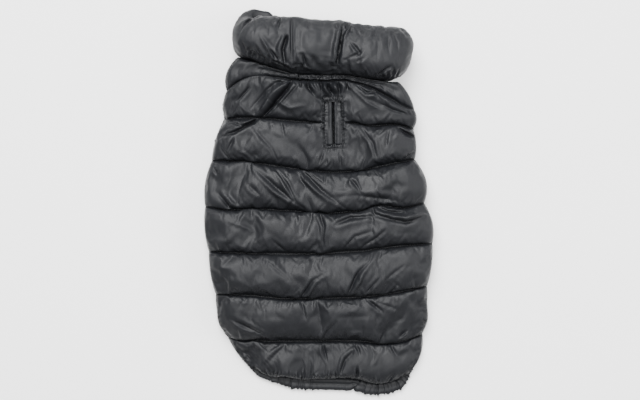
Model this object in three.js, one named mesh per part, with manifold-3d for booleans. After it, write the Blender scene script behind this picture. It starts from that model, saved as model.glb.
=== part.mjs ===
// A quilted, padded winter coat for a dog, lying flat on its belly side with its back upwards.
// Millimetres, +Z up. The origin is on the surface that the coat lies on, under the middle of its
// outline; +Y runs towards the collar and +X to the right of the coat as it is seen from above.
import * as THREE from "three";
import Module from "manifold-3d";
import { mergeVertices } from "three/addons/utils/BufferGeometryUtils.js";

const wasm = await Module();
wasm.setup();

// Clearances between pieces that are sewn together or lie on each other.
const SEAM_GAP = 0.3;
const INNER_GAP = 0.6;

// Padding heights.
const SEAM_THICKNESS = 6;
const EDGE_THICKNESS = 2.6;
const NECK_THICKNESS = 5;
const FULL_CHANNEL = 32;
const BACK_EDGE_ROLL = 26;
const BELLY_EDGE_ROLL = 16;
const BELLY_GROOVE_RISE = 5;
const BELLY_CROWN_DROP = 2;
const CHANNEL_SQUARENESS = 2.6;

// How sharply a line of quilting bends towards the coat's edges.
const LINE_BEND = 1.7;

// How the panels are divided across, and each channel from its upper line of quilting to its lower.
const BACK_STEPS_ACROSS = 34;
const BELLY_STEPS_ACROSS = 18;
const INNER_STEPS_ACROSS = 6;
const CHANNEL_PLACES = [0, 0.07, 0.22, 0.5, 0.78, 0.93];
const CROWDING_AT_EDGES = 0.55;
const NEAREST_PLACE = 0.05;
const FOLD_END_FADE = 0.15;

// The inside of the coat stands a little open at the neck and closes towards the waist.
const NECK_OPEN_HEIGHT = 9;
const NECK_OPEN_ENDS_AT = 1.6;

// The collar, one padded channel closed into a ring.
const COLLAR_LOFT = 24.5;
const COLLAR_HALF_WIDTH = 97;
const COLLAR_MIDDLE_X = 3.5;
const COLLAR_CENTRE_HEIGHT = 28;
const COLLAR_INNER_HALF_HEIGHT = 4.6;
const COLLAR_SQUARENESS = 2.8;
const COLLAR_FULLNESS = 0.64;
const COLLAR_STEPS_ROUND = 88;
const COLLAR_STEPS_UP = 9;

// The elasticated casings and bindings.
const HEM_CASING_HALF_WIDTH = 6.8;
const HEM_CASING_SIDE_HALF_WIDTH = 2.6;
const HEM_CASING_HALF_HEIGHT = 3.6;
const HEM_CASING_STAND = 1;
const HEM_STRAIGHT_SHARE = 0.86;
const HEM_NARROW_UNTIL = 0.16;
const HEM_WIDE_FROM = 0.3;
const HEM_GATHERS = 52;
const BELLY_BINDING_SHARE = 0.96;
const BELLY_BINDING_HALF_WIDTH = 3.4;
const BELLY_BINDING_HALF_HEIGHT = 2.6;
const BELLY_HEM_GATHERS = 26;
const LEG_BINDING_HALF_WIDTH = 2.3;
const LEG_BINDING_DROP = 1.6;
const LEG_BINDING_RIM_INSET = 1.8;
const LEG_BINDING_END_CLEARANCE = 0.2;
const LEG_CUT_ROUNDNESS = 0.7;
const LEG_GATHERS = 18;
const NECK_ELASTIC_HALF_WIDTH = 1.9;
const NECK_ELASTIC_HALF_HEIGHT = 1.7;
const NECK_ELASTIC_FROM_X = -30;
const NECK_ELASTIC_TO_X = 28;
const NECK_ELASTIC_LINE = 0.15;
const NECK_GATHERS = 11;
const GATHER_WAVE = 0.14;

// Each panel runs over these lines of quilting, counted from the neck seam.
const BACK_END = 8;
const BELLY_END = 6.35;
const CASING_START = 6.62;
const BELLY_END_FADE = 0.35;
const BELLY_START_FADE = 0.5;

// The leash slot is a hole in the back with a padded welt along each side.
const SLOT_CENTRE_X = 15;
const SLOT_CENTRE_Y = 83;
const SLOT_TILT = THREE.MathUtils.degToRad(1.5);
const SLOT_HOLE_WIDTH = 20;
const SLOT_HOLE_LENGTH = 44;
const SLOT_MOUTH_WIDTH = 5.6;
const SLOT_FRAME_HALF_WIDTH = 12;
const SLOT_FRAME_HALF_LENGTH = 28;
const SLOT_FRAME_THICKNESS = 13;
const SLOT_FRAME_FADE = 11;
const WELT_STAND = 3.4;
const WELT_END_DROP = 5;
const WELT_END_ROLL = 7;

const SHELL_COLOUR = "#414246";
const TRIM_COLOUR = "#2f3033";

// One row for each line of quilting from the neck seam to the hem: where it meets the coat's left
// and right edges, its height at the middle, and the channel below it: how far that puffs out at
// each edge and how high it stands.
const QUILT_LINES = [
  { leftX: -84, leftY: 152, rightX: 83, rightY: 122, middleY: 133, leftPuff: 7, rightPuff: 2.5, loft: 14 },
  { leftX: -97, leftY: 118, rightX: 100, rightY: 99, middleY: 127, leftPuff: 2, rightPuff: 1.5, loft: 22 },
  { leftX: -99, leftY: 87.5, rightX: 99, rightY: 77, middleY: 83, leftPuff: 2.5, rightPuff: 3, loft: 23 },
  { leftX: -113, leftY: 43.5, rightX: 101, rightY: 45, middleY: 32.5, leftPuff: 3, rightPuff: 6, loft: 24 },
  { leftX: -120.5, leftY: -5.5, rightX: 111, rightY: -1, middleY: -10.5, leftPuff: 1.5, rightPuff: 3.5, loft: 24 },
  { leftX: -117, leftY: -52.5, rightX: 119.5, rightY: -44, middleY: -54, leftPuff: 1, rightPuff: 1, loft: 24 },
  { leftX: -109, leftY: -98, rightX: 114, rightY: -89, middleY: -101, leftPuff: 5, rightPuff: 2, loft: 23 },
  { leftX: -91, leftY: -142, rightX: 104, rightY: -138.5, middleY: -147.5, leftPuff: 1, rightPuff: 5, loft: 20 },
  { leftX: -58, leftY: -178, rightX: 82, rightY: -186, middleY: -184, leftPuff: 0, rightPuff: 0, loft: 20 },
];

// The height of the face between the back and the belly, and of the back's underside past the
// belly's end, by the number of quilt lines from the neck.
const INNER_FACE = [
  { line: 0, height: COLLAR_CENTRE_HEIGHT },
  { line: 1, height: 23 },
  { line: 2, height: 18.5 },
  { line: 3, height: 17 },
  { line: 5, height: 16.5 },
  { line: 6, height: 14.5 },
  { line: 6.35, height: 9 },
  { line: 6.7, height: 5.5 },
  { line: 7.3, height: 0 },
  { line: 8, height: 0 },
];

// The collar's free upper edge, by distance from the coat's middle.
const COLLAR_TOP = [
  { x: -92, y: 195 },
  { x: -80, y: 199.5 },
  { x: -66, y: 201.5 },
  { x: -48, y: 195.5 },
  { x: 0, y: 190.5 },
  { x: 30, y: 189.5 },
  { x: 42, y: 185.5 },
  { x: 84, y: 183 },
  { x: 98, y: 179.5 },
];

// The leg openings, between these lines on each side of the belly panel.
const LEG_OPENINGS = [
  { side: "left", sign: -1, start: 1.2, end: 2.76, depth: 36 },
  { side: "right", sign: 1, start: 0.62, end: 2.92, depth: 36 },
];

// A welt's section: each point's place across it, from its middle, and its height over the welt's
// foot or, with fromCrown, under its crown.
const WELT_SECTION = [
  { part: -0.86, height: 0 },
  { part: 0.86, height: 0 },
  { part: 1, height: 1.5 },
  { part: 1, height: 3.4, fromCrown: true },
  { part: 0.72, height: 1, fromCrown: true },
  { part: 0, height: 0, fromCrown: true },
  { part: -0.72, height: 1, fromCrown: true },
  { part: -1, height: 3.4, fromCrown: true },
  { part: -1, height: 1.5 },
];

// The largest folds of the back, each a trough between two points.
const BACK_FOLDS = [
  { fromX: -30, fromY: 127, toX: -64, toY: 88, width: 5.5, depth: 9 },
  { fromX: 47, fromY: 124, toX: 64, toY: 107, width: 5, depth: 5 },
  { fromX: 56, fromY: 119, toX: 90, toY: 97, width: 5, depth: 5 },
  { fromX: -70, fromY: 36, toX: -24, toY: -3, width: 5, depth: 4 },
  { fromX: -17, fromY: 27, toX: 27, toY: -6, width: 5.5, depth: 4 },
  { fromX: -107, fromY: 10, toX: -86, toY: -11, width: 5, depth: 4 },
  { fromX: 58, fromY: -10, toX: 108, toY: -15, width: 4.5, depth: 6 },
  { fromX: 20, fromY: -25, toX: 70, toY: -18, width: 4.5, depth: 4 },
  { fromX: 27, fromY: -48, toX: 58, toY: -31, width: 4.5, depth: 4 },
  { fromX: -20, fromY: -100, toX: 10, toY: -74, width: 5, depth: 4 },
  { fromX: 29, fromY: -99, toX: 53, toY: -61, width: 4.5, depth: 4.5 },
  { fromX: 48, fromY: -95, toX: 62, toY: -79, width: 4.5, depth: 3.5 },
  { fromX: 2, fromY: -144, toX: 18, toY: -126, width: 4.5, depth: 4 },
  { fromX: -96, fromY: -121, toX: -60, toY: -138, width: 4.5, depth: 3 },
  { fromX: 3, fromY: -150, toX: 10, toY: -167, width: 4.5, depth: 4 },
  { fromX: 23, fromY: -180, toX: 36, toY: -157, width: 5, depth: 4 },
  { fromX: 70, fromY: 49, toX: 45, toY: 66, width: 5, depth: 3 },
];

// The collar's upright folds on its upper side, by distance from its middle.
const COLLAR_FOLDS = [
  { x: -38, width: 3.5, depth: 3, from: 0.45, to: 1 },
  { x: -27, width: 3, depth: 2.5, from: 0.05, to: 1 },
  { x: 5, width: 3, depth: 2, from: 0.6, to: 1 },
  { x: 23, width: 4, depth: 6, from: 0, to: 1 },
  { x: -34, width: 3.5, depth: 4, from: 0, to: 0.5 },
  { x: 62, width: 4, depth: 2, from: 0, to: 0.45 },
];

// Returns a smooth function through a table's rows, from the named column to another.
function smoothTable(rows, fromColumn, toColumn) {
  const slopeAt = (i) => {
    const before = rows[Math.max(i - 1, 0)];
    const after = rows[Math.min(i + 1, rows.length - 1)];
    return (after[toColumn] - before[toColumn]) / (after[fromColumn] - before[fromColumn]);
  };
  return (at) => {
    const last = rows.length - 2;
    let i = rows.findIndex((row, n) => n <= last && at <= rows[n + 1][fromColumn]);
    i = i < 0 ? last : i;
    const span = rows[i + 1][fromColumn] - rows[i][fromColumn];
    const f = THREE.MathUtils.clamp((at - rows[i][fromColumn]) / span, 0, 1);
    const hold = (2 * f - 3) * f * f + 1;
    const leave = ((f - 2) * f + 1) * f * span * slopeAt(i);
    const arrive = (f - 1) * f * f * span * slopeAt(i + 1);
    return hold * rows[i][toColumn] + (1 - hold) * rows[i + 1][toColumn] + leave + arrive;
  };
}

const collarTop = smoothTable(COLLAR_TOP, "x", "y");

// The inner face keeps to its table's straight runs, so that it never dips below the surface.
function innerFaceHeight(line) {
  const last = INNER_FACE.length - 2;
  let i = INNER_FACE.findIndex((row, n) => n <= last && line <= INNER_FACE[n + 1].line);
  i = i < 0 ? last : i;
  const span = INNER_FACE[i + 1].line - INNER_FACE[i].line;
  const f = (line - INNER_FACE[i].line) / span;
  return THREE.MathUtils.lerp(INNER_FACE[i].height, INNER_FACE[i + 1].height, f);
}

// A value between two rows of quilting.
function alongLines(line, column) {
  const i = Math.min(Math.floor(line), QUILT_LINES.length - 2);
  return THREE.MathUtils.lerp(QUILT_LINES[i][column], QUILT_LINES[i + 1][column], line - i);
}

// A place on the coat's plan: across runs from -1 at the left edge to 1 at the right edge.
function planPoint(across, line) {
  const channel = QUILT_LINES[Math.min(Math.floor(line), QUILT_LINES.length - 2)];
  const puff = Math.sin(Math.PI * (line - Math.floor(line)));
  const left = alongLines(line, "leftX") - channel.leftPuff * puff;
  const right = alongLines(line, "rightX") + channel.rightPuff * puff;
  const middle = alongLines(line, "middleY");
  const end = across < 0 ? alongLines(line, "leftY") : alongLines(line, "rightY");
  return new THREE.Vector2(
    THREE.MathUtils.lerp(left, right, (across + 1) / 2),
    middle + (end - middle) * Math.abs(across) ** LINE_BEND,
  );
}

// How far across the coat a place is on a line of quilting, from -1 to 1.
function acrossAt(x, line) {
  const left = planPoint(-1, line).x;
  const right = planPoint(1, line).x;
  return THREE.MathUtils.clamp(((x - left) / (right - left)) * 2 - 1, -1, 1);
}

// The height on the plan of a line of quilting at a place across the coat.
function lineHeightAt(x, line) {
  return planPoint(acrossAt(x, line), line).y;
}

function halfWidth(line) {
  return (planPoint(1, line).x - planPoint(-1, line).x) / 2;
}

// A channel's height from 0 at its lines of quilting to 1 at its crown, and less where the lines
// run close together.
function pillow(line, x = 0) {
  const above = Math.min(Math.floor(line), QUILT_LINES.length - 2);
  const fromCrown = Math.abs(2 * (line - above) - 1);
  const room = lineHeightAt(x, above) - lineHeightAt(x, above + 1);
  return Math.sqrt(Math.max(0, 1 - fromCrown ** CHANNEL_SQUARENESS)) * Math.min(1, room / FULL_CHANNEL);
}

// The roll of a padded edge, from 0 at the edge to 1 at the given distance inside it.
function edgeRoll(distance, roll) {
  const rest = 1 - Math.min(1, Math.max(0, distance) / roll);
  return Math.sqrt(1 - rest * rest);
}

// The depth of a trough between two points, fading out past its ends.
function troughDepth(fold, x, y) {
  const run = new THREE.Vector2(fold.toX - fold.fromX, fold.toY - fold.fromY);
  const offset = new THREE.Vector2(x - fold.fromX, y - fold.fromY);
  const length = run.length();
  const along = THREE.MathUtils.clamp(offset.dot(run) / length, 0, length);
  const aside = offset.sub(run.multiplyScalar(along / length)).length();
  const fade = Math.sin(Math.PI * THREE.MathUtils.lerp(FOLD_END_FADE, 1 - FOLD_END_FADE, along / length));
  return fold.depth * fade * Math.exp(-((aside / fold.width) ** 2));
}

// How much the leash slot's stitched frame presses the padding flat, from 0 to 1.
function slotPress(x, y) {
  const along = new THREE.Vector2(x - SLOT_CENTRE_X, y - SLOT_CENTRE_Y).rotateAround(
    new THREE.Vector2(),
    -SLOT_TILT,
  );
  const outside = Math.max(
    Math.abs(along.x) - SLOT_FRAME_HALF_WIDTH,
    Math.abs(along.y) - SLOT_FRAME_HALF_LENGTH,
  );
  return 1 - THREE.MathUtils.smoothstep(outside, 0, SLOT_FRAME_FADE);
}

function innerGap(across, line) {
  const open = 1 - Math.min(1, line / NECK_OPEN_ENDS_AT);
  return INNER_GAP + NECK_OPEN_HEIGHT * open * (1 - across * across);
}

// The back panel's thickness above its inner face.
function backThickness(across, line) {
  const { x, y } = planPoint(across, line);
  const loft = QUILT_LINES[Math.min(Math.floor(line), QUILT_LINES.length - 2)].loft;
  const seam = line < 0.5 ? NECK_THICKNESS : SEAM_THICKNESS;
  let height = seam + (loft - seam) * pillow(line, x);
  height -= BACK_FOLDS.reduce((sum, fold) => sum + troughDepth(fold, x, y), 0);
  height = THREE.MathUtils.lerp(Math.max(height, seam), SLOT_FRAME_THICKNESS, slotPress(x, y));
  const roll = edgeRoll((1 - Math.abs(across)) * halfWidth(line), BACK_EDGE_ROLL);
  return EDGE_THICKNESS + (height - EDGE_THICKNESS) * roll;
}

// Joins closed rings of points into one surface. Without a closed run, a cap shuts each end: the
// ring's first points are one long side and the rest the other, and the cap runs between the two.
function loft(rings, { closed = false, capSplit = 0 } = {}) {
  const size = rings[0].length;
  const positions = rings.flat().flatMap((point) => [point.x, point.y, point.z]);
  const faces = [];
  const runs = closed ? rings.length : rings.length - 1;
  for (let i = 0; i < runs; i++) {
    const here = i * size;
    const next = ((i + 1) % rings.length) * size;
    for (let j = 0; j < size; j++) {
      const k = (j + 1) % size;
      faces.push(here + j, here + k, next + k, here + j, next + k, next + j);
    }
  }
  if (!closed) {
    capFaces(rings[0], capSplit).forEach(([a, b, c]) => faces.push(a, c, b));
    const last = (rings.length - 1) * size;
    const cap = capFaces(rings[rings.length - 1], capSplit);
    cap.forEach(([a, b, c]) => faces.push(last + a, last + b, last + c));
  }
  const geometry = new THREE.BufferGeometry();
  geometry.setAttribute("position", new THREE.Float32BufferAttribute(positions, 3));
  geometry.setIndex(turnedOutwards(rings.flat(), faces));
  geometry.computeVertexNormals();
  return geometry;
}

// The faces of a closed surface, wound so that they point out of it.
function turnedOutwards(points, faces) {
  let volume = 0;
  for (let i = 0; i < faces.length; i += 3) {
    const [a, b, c] = faces.slice(i, i + 3).map((n) => points[n]);
    volume += a.dot(b.clone().cross(c));
  }
  return volume < 0 ? faces.reverse() : faces;
}

// Triangles between a ring's two long sides, which meet at the ring's first point and at its split.
function capFaces(ring, split) {
  const size = ring.length;
  const near = Array.from({ length: split + 1 }, (_, i) => i);
  const far = Array.from({ length: size - split + 1 }, (_, i) => (size - i) % size);
  const faces = [];
  let i = 0;
  let j = 0;
  while (i < near.length - 1 || j < far.length - 1) {
    const nearShare = (i + 1) / (near.length - 1);
    const farShare = (j + 1) / (far.length - 1);
    const stepNear = j === far.length - 1 || (i < near.length - 1 && nearShare <= farShare);
    const corner = stepNear ? near[i + 1] : far[j + 1];
    if (new Set([near[i], corner, far[j]]).size === 3) faces.push([near[i], corner, far[j]]);
    if (stepNear) i += 1;
    else j += 1;
  }
  return faces;
}

function evenly(from, to, steps) {
  return Array.from({ length: steps + 1 }, (_, i) => THREE.MathUtils.lerp(from, to, i / steps));
}

// Places across a panel, closer together near both edges, where the padding rolls over.
function acrossPlaces(from, to, steps) {
  return evenly(-1, 1, steps).map((at) => {
    const spread = THREE.MathUtils.lerp(at, Math.sin((at * Math.PI) / 2), CROWDING_AT_EDGES);
    return THREE.MathUtils.lerp(from, to, (spread + 1) / 2);
  });
}

// Places along a panel: close to each line of quilting, where the channel's wall is steep.
function linePlaces(end) {
  const places = QUILT_LINES.flatMap((_, line) => CHANNEL_PLACES.map((part) => line + part));
  return [...places.filter((line) => line < end - NEAREST_PLACE), end];
}

function mesh(name, geometry, colour) {
  const material = new THREE.MeshStandardMaterial({ color: colour, roughness: 0.55, metalness: 0 });
  const made = new THREE.Mesh(geometry, material);
  made.name = name;
  return made;
}

function toSolid(geometry) {
  const bare = geometry.clone();
  bare.deleteAttribute("normal");
  bare.deleteAttribute("uv");
  const merged = mergeVertices(bare, 1e-4);
  return new wasm.Manifold(
    new wasm.Mesh({
      numProp: 3,
      vertProperties: merged.attributes.position.array,
      triVerts: new Uint32Array(merged.index.array),
    }),
  );
}

function toGeometry(solid) {
  const { vertProperties, triVerts } = solid.getMesh();
  const geometry = new THREE.BufferGeometry();
  geometry.setAttribute("position", new THREE.BufferAttribute(vertProperties, 3));
  geometry.setIndex(new THREE.BufferAttribute(triVerts, 1));
  geometry.computeVertexNormals();
  return geometry;
}

// The hole for the leash, a straight prism through the back.
function slotPrism() {
  const prism = new THREE.BoxGeometry(SLOT_HOLE_WIDTH, SLOT_HOLE_LENGTH, 4 * SLOT_FRAME_THICKNESS);
  prism.translate(0, 0, COLLAR_CENTRE_HEIGHT);
  return prism.rotateZ(SLOT_TILT).translate(SLOT_CENTRE_X, SLOT_CENTRE_Y, 0);
}

// The back: a padded panel with its channels raised above a plain inner face.
function backPanel() {
  const outer = acrossPlaces(-1, 1, BACK_STEPS_ACROSS);
  const inner = evenly(1, -1, INNER_STEPS_ACROSS);
  const rings = linePlaces(BACK_END).map((line) => {
    const at = (across, height) => {
      const { x, y } = planPoint(across, line);
      const lift = line > BELLY_END ? 0 : innerGap(across, line) / 2;
      return new THREE.Vector3(x, y, innerFaceHeight(line) + lift + height);
    };
    return [
      ...outer.map((across) => at(across, backThickness(across, line))),
      ...inner.map((across) => at(across, 0)),
    ];
  });
  const whole = toSolid(loft(rings, { capSplit: outer.length - 1 }));
  return mesh("back_panel", toGeometry(whole.subtract(toSolid(slotPrism()))), SHELL_COLOUR);
}

// How far a leg opening cuts into the belly panel at a line.
function legInset(opening, line) {
  const share = (line - opening.start) / (opening.end - opening.start);
  return share <= 0 || share >= 1 ? 0 : opening.depth * Math.sin(Math.PI * share) ** LEG_CUT_ROUNDNESS;
}

// The belly's edges as places across the coat.
function bellyEdges(line) {
  const [left, right] = LEG_OPENINGS.map((opening) => legInset(opening, line) / halfWidth(line));
  return [-1 + left, 1 - right];
}

// The belly: a narrower padded panel that the back lies on, resting on its flattened crowns.
function bellyPanel() {
  const rings = linePlaces(BELLY_END).map((line) => {
    const [left, right] = bellyEdges(line);
    const top = (across) => innerFaceHeight(line) - innerGap(across, line) / 2;
    const ending = THREE.MathUtils.smoothstep(line, BELLY_END - BELLY_END_FADE, BELLY_END);
    const starting = 1 - THREE.MathUtils.smoothstep(line, 0, BELLY_START_FADE);
    const underside = acrossPlaces(left, right, BELLY_STEPS_ACROSS).map((across) => {
      const { x, y } = planPoint(across, line);
      const inside = Math.min(across - left, right - across) * halfWidth(line);
      const crown = pillow(line, x);
      const full = top(across) - BELLY_GROOVE_RISE * (1 - crown) + BELLY_CROWN_DROP * crown;
      const padded = THREE.MathUtils.lerp(full, SEAM_THICKNESS, Math.max(ending, starting));
      const thickness = EDGE_THICKNESS + (padded - EDGE_THICKNESS) * edgeRoll(inside, BELLY_EDGE_ROLL);
      return new THREE.Vector3(x, y, Math.max(0, top(across) - thickness));
    });
    const inner = evenly(right, left, INNER_STEPS_ACROSS).map((across) => {
      const { x, y } = planPoint(across, line);
      return new THREE.Vector3(x, y, top(across));
    });
    return [...underside, ...inner];
  });
  return mesh("belly_panel", loft(rings, { capSplit: BELLY_STEPS_ACROSS }), SHELL_COLOUR);
}

// The collar: a padded ring round the neck, flattened, with an open mouth through it.
function collar() {
  const power = 2 / COLLAR_SQUARENESS;
  const halfLength = COLLAR_HALF_WIDTH - COLLAR_LOFT;
  const rings = Array.from({ length: COLLAR_STEPS_ROUND }, (_, i) => {
    const turn = (-2 * Math.PI * i) / COLLAR_STEPS_ROUND;
    const c = Math.cos(turn);
    const s = Math.sin(turn);
    const across = Math.sign(c) * Math.abs(c) ** power;
    const up = Math.sign(s) * Math.abs(s) ** power;
    const outward = new THREE.Vector2(
      Math.sign(c) * Math.abs(across) ** (COLLAR_SQUARENESS - 1) / halfLength,
      Math.sign(s) * Math.abs(up) ** (COLLAR_SQUARENESS - 1) / COLLAR_INNER_HALF_HEIGHT,
    ).normalize();
    const innerX = COLLAR_MIDDLE_X + halfLength * across;
    const at = (share, thickness) => {
      const x = innerX + outward.x * thickness;
      const z = COLLAR_CENTRE_HEIGHT + COLLAR_INNER_HALF_HEIGHT * up + outward.y * thickness;
      const base = lineHeightAt(x, 0) + 2 * SEAM_GAP;
      const top = collarTop(x);
      return new THREE.Vector3(x, THREE.MathUtils.lerp(base, top, share), Math.max(0, z));
    };
    const outside = evenly(0, 1, COLLAR_STEPS_UP).map((step) => {
      const angle = Math.PI * step;
      const share = (1 - Math.cos(angle)) / 2;
      const folds = COLLAR_FOLDS.reduce((sum, fold) => {
        const aside = (innerX - fold.x) / fold.width;
        const within = share >= fold.from && share <= fold.to && up > 0;
        return sum + (within ? fold.depth * Math.exp(-aside * aside) : 0);
      }, 0);
      const full = COLLAR_LOFT - NECK_THICKNESS - folds;
      return at(share, NECK_THICKNESS + full * Math.sin(angle) ** COLLAR_FULLNESS);
    });
    const inside = [1, 0.66, 0.33, 0].map((share) => at(share, 0));
    return [...outside, ...inside];
  });
  return mesh("collar", loft(rings, { closed: true }), SHELL_COLOUR);
}

// A soft tube along a line of points, with its width and height gathered in waves. The turn at
// each point is the plan direction of the line, so its width lies level.
function gatheredTube(points, { halfWidthAt, halfHeightAt, waves, closed = false, sides = 6, perWave = 3 }) {
  const curve = new THREE.CatmullRomCurve3(points, closed, "centripetal");
  const steps = waves * perWave;
  const rings = Array.from({ length: closed ? steps : steps + 1 }, (_, i) => {
    const share = i / steps;
    const centre = curve.getPointAt(share);
    const ahead = curve.getTangentAt(share);
    const level = new THREE.Vector3(ahead.y, -ahead.x, 0).normalize();
    const rise = new THREE.Vector3().crossVectors(level, ahead).normalize();
    const wave = 1 + GATHER_WAVE * Math.cos(2 * Math.PI * waves * share);
    return Array.from({ length: sides }, (_, j) => {
      const turn = (2 * Math.PI * (j + 0.5)) / sides;
      return centre
        .clone()
        .addScaledVector(level, Math.cos(turn) * halfWidthAt(share) * wave)
        .addScaledVector(rise, Math.sin(turn) * halfHeightAt(share) * wave);
    });
  });
  return loft(rings, { closed, capSplit: sides / 2 });
}

// The outward plan direction of a line of points, at one of them.
function outwardAt(points, i) {
  const before = points[Math.max(i - 1, 0)];
  const after = points[Math.min(i + 1, points.length - 1)];
  return new THREE.Vector2(before.y - after.y, after.x - before.x).normalize();
}

// Each point's share of the length of a line of points.
function lengthShares(points) {
  const lengths = [0];
  points.slice(1).forEach((point, i) => lengths.push(lengths[i] + point.distanceTo(points[i])));
  return lengths.map((length) => length / lengths[lengths.length - 1]);
}

// The hem casing: the folded hem of the back with elastic inside, round the coat's tail.
function hemCasing() {
  const sideLines = evenly(CASING_START, BACK_END, 7);
  const edge = [
    ...sideLines.map((line) => ({ across: -1, line })),
    ...evenly(-HEM_STRAIGHT_SHARE, HEM_STRAIGHT_SHARE, 12).map((across) => ({ across, line: BACK_END })),
    ...sideLines.reverse().map((line) => ({ across: 1, line })),
  ];
  const plan = edge.map(({ across, line }) => planPoint(across, line));
  const shares = lengthShares(plan);
  const width = (share) => {
    const tail = THREE.MathUtils.smoothstep(Math.min(share, 1 - share), HEM_NARROW_UNTIL, HEM_WIDE_FROM);
    return THREE.MathUtils.lerp(HEM_CASING_SIDE_HALF_WIDTH, HEM_CASING_HALF_WIDTH, tail);
  };
  const points = plan.map((place, i) => {
    const reach = width(shares[i]) * (1 + GATHER_WAVE) + SEAM_GAP;
    const outward = outwardAt(plan, i).multiplyScalar(-reach);
    const lowest = HEM_CASING_HALF_HEIGHT * (1 + GATHER_WAVE) + SEAM_GAP / 2;
    const height = Math.max(innerFaceHeight(edge[i].line) + HEM_CASING_STAND, lowest);
    return new THREE.Vector3(place.x + outward.x, place.y + outward.y, height);
  });
  const geometry = gatheredTube(points, {
    halfWidthAt: width,
    halfHeightAt: () => HEM_CASING_HALF_HEIGHT,
    waves: HEM_GATHERS,
  });
  return mesh("hem_casing", geometry, SHELL_COLOUR);
}

// The binding along the belly's end, under the back.
function bellyBinding() {
  const offset = BELLY_BINDING_HALF_WIDTH * (1 + GATHER_WAVE) + SEAM_GAP;
  const height = BELLY_BINDING_HALF_HEIGHT * (1 + GATHER_WAVE) + SEAM_GAP;
  const points = evenly(-BELLY_BINDING_SHARE, BELLY_BINDING_SHARE, 12).map((across) => {
    const { x, y } = planPoint(across, BELLY_END);
    return new THREE.Vector3(x, y - offset, height);
  });
  const geometry = gatheredTube(points, {
    halfWidthAt: () => BELLY_BINDING_HALF_WIDTH,
    halfHeightAt: () => BELLY_BINDING_HALF_HEIGHT,
    waves: BELLY_HEM_GATHERS,
  });
  return mesh("belly_binding", geometry, TRIM_COLOUR);
}

// The elasticated binding round a leg opening: along the belly's cut edge and back under the back.
function legBinding(opening) {
  const reach = LEG_BINDING_HALF_WIDTH * (1 + GATHER_WAVE) + 2 * SEAM_GAP;
  const first = opening.start + LEG_BINDING_END_CLEARANCE;
  const last = opening.end - LEG_BINDING_END_CLEARANCE;
  const cutEdge = evenly(first, last, 10).map((line) => {
    const inset = legInset(opening, line) / halfWidth(line);
    return planPoint(opening.sign * (1 - inset), line);
  });
  const cut = cutEdge.map((place, i) => {
    const outward = outwardAt(cutEdge, i).multiplyScalar(opening.sign * reach);
    const line = THREE.MathUtils.lerp(opening.start, opening.end, i / 10);
    const height = innerFaceHeight(line) - INNER_GAP - reach - LEG_BINDING_DROP;
    return new THREE.Vector3(place.x + outward.x, place.y + outward.y, height);
  });
  const rim = evenly(last, first, 6).map((line) => {
    const { x, y } = planPoint(opening.sign, line);
    const height = innerFaceHeight(line) - INNER_GAP / 2 - reach;
    return new THREE.Vector3(x - opening.sign * LEG_BINDING_RIM_INSET, y, height);
  });
  const geometry = gatheredTube([...cut, ...rim], {
    halfWidthAt: () => LEG_BINDING_HALF_WIDTH,
    halfHeightAt: () => LEG_BINDING_HALF_WIDTH,
    waves: LEG_GATHERS,
    closed: true,
  });
  return mesh(`leg_binding_${opening.side}`, geometry, TRIM_COLOUR);
}

// The gathered elastic in the crease between the collar and the back.
function neckElastic() {
  const points = evenly(NECK_ELASTIC_FROM_X, NECK_ELASTIC_TO_X, 8).map((x) => {
    const across = acrossAt(x, 0);
    const backInside = innerFaceHeight(NECK_ELASTIC_LINE) + innerGap(across, NECK_ELASTIC_LINE) / 2;
    const backTop = backInside + backThickness(across, NECK_ELASTIC_LINE);
    const height = backTop + SEAM_GAP + NECK_ELASTIC_HALF_HEIGHT;
    return new THREE.Vector3(x, lineHeightAt(x, 0) - NECK_ELASTIC_HALF_WIDTH, height);
  });
  const geometry = gatheredTube(points, {
    halfWidthAt: () => NECK_ELASTIC_HALF_WIDTH,
    halfHeightAt: () => NECK_ELASTIC_HALF_HEIGHT,
    waves: NECK_GATHERS,
    perWave: 4,
  });
  return mesh("neck_elastic", geometry, SHELL_COLOUR);
}

// A padded welt along one side of the leash slot, standing a little above the frame.
function slotWelt(side, sign) {
  const outerX = SLOT_HOLE_WIDTH / 2 - SEAM_GAP;
  const innerX = SLOT_MOUTH_WIDTH / 2;
  const centre = (sign * (outerX + innerX)) / 2;
  const half = (outerX - innerX) / 2;
  const top = innerFaceHeight(2) + SLOT_FRAME_THICKNESS + WELT_STAND;
  const reach = SLOT_HOLE_LENGTH / 2 - 2 * SEAM_GAP;
  const rings = evenly(-reach, reach, 10).map((along) => {
    const taper = edgeRoll(reach - Math.abs(along) + 1, WELT_END_ROLL);
    const crown = THREE.MathUtils.lerp(top - WELT_END_DROP, top, taper);
    const { y: above } = planPoint(0, 1);
    const { y: below } = planPoint(0, 3);
    const line = 1 + (2 * (above - SLOT_CENTRE_Y - along)) / (above - below);
    const foot = innerFaceHeight(line) + innerGap(0, line) / 2 + 2 * SEAM_GAP;
    return WELT_SECTION.map(({ part, height, fromCrown }) => {
      return new THREE.Vector3(centre + part * half, along, fromCrown ? crown - height : foot + height);
    });
  });
  const geometry = loft(rings, { capSplit: 4 });
  geometry.rotateZ(SLOT_TILT).translate(SLOT_CENTRE_X, SLOT_CENTRE_Y, 0);
  return mesh(`slot_welt_${side}`, geometry, SHELL_COLOUR);
}

const coat = new THREE.Group();
coat.add(
  backPanel(),
  bellyPanel(),
  collar(),
  hemCasing(),
  bellyBinding(),
  neckElastic(),
  slotWelt("left", -1),
  slotWelt("right", 1),
  ...LEG_OPENINGS.map(legBinding),
);
export default coat;
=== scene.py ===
"""The looks of a quilted, padded winter coat for a dog, laid flat on its belly with its back up.

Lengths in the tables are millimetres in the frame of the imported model: +Y runs towards the collar,
+X to the right of the coat as it is seen from above, and +Z up from the surface it lies on.
"""

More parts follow.
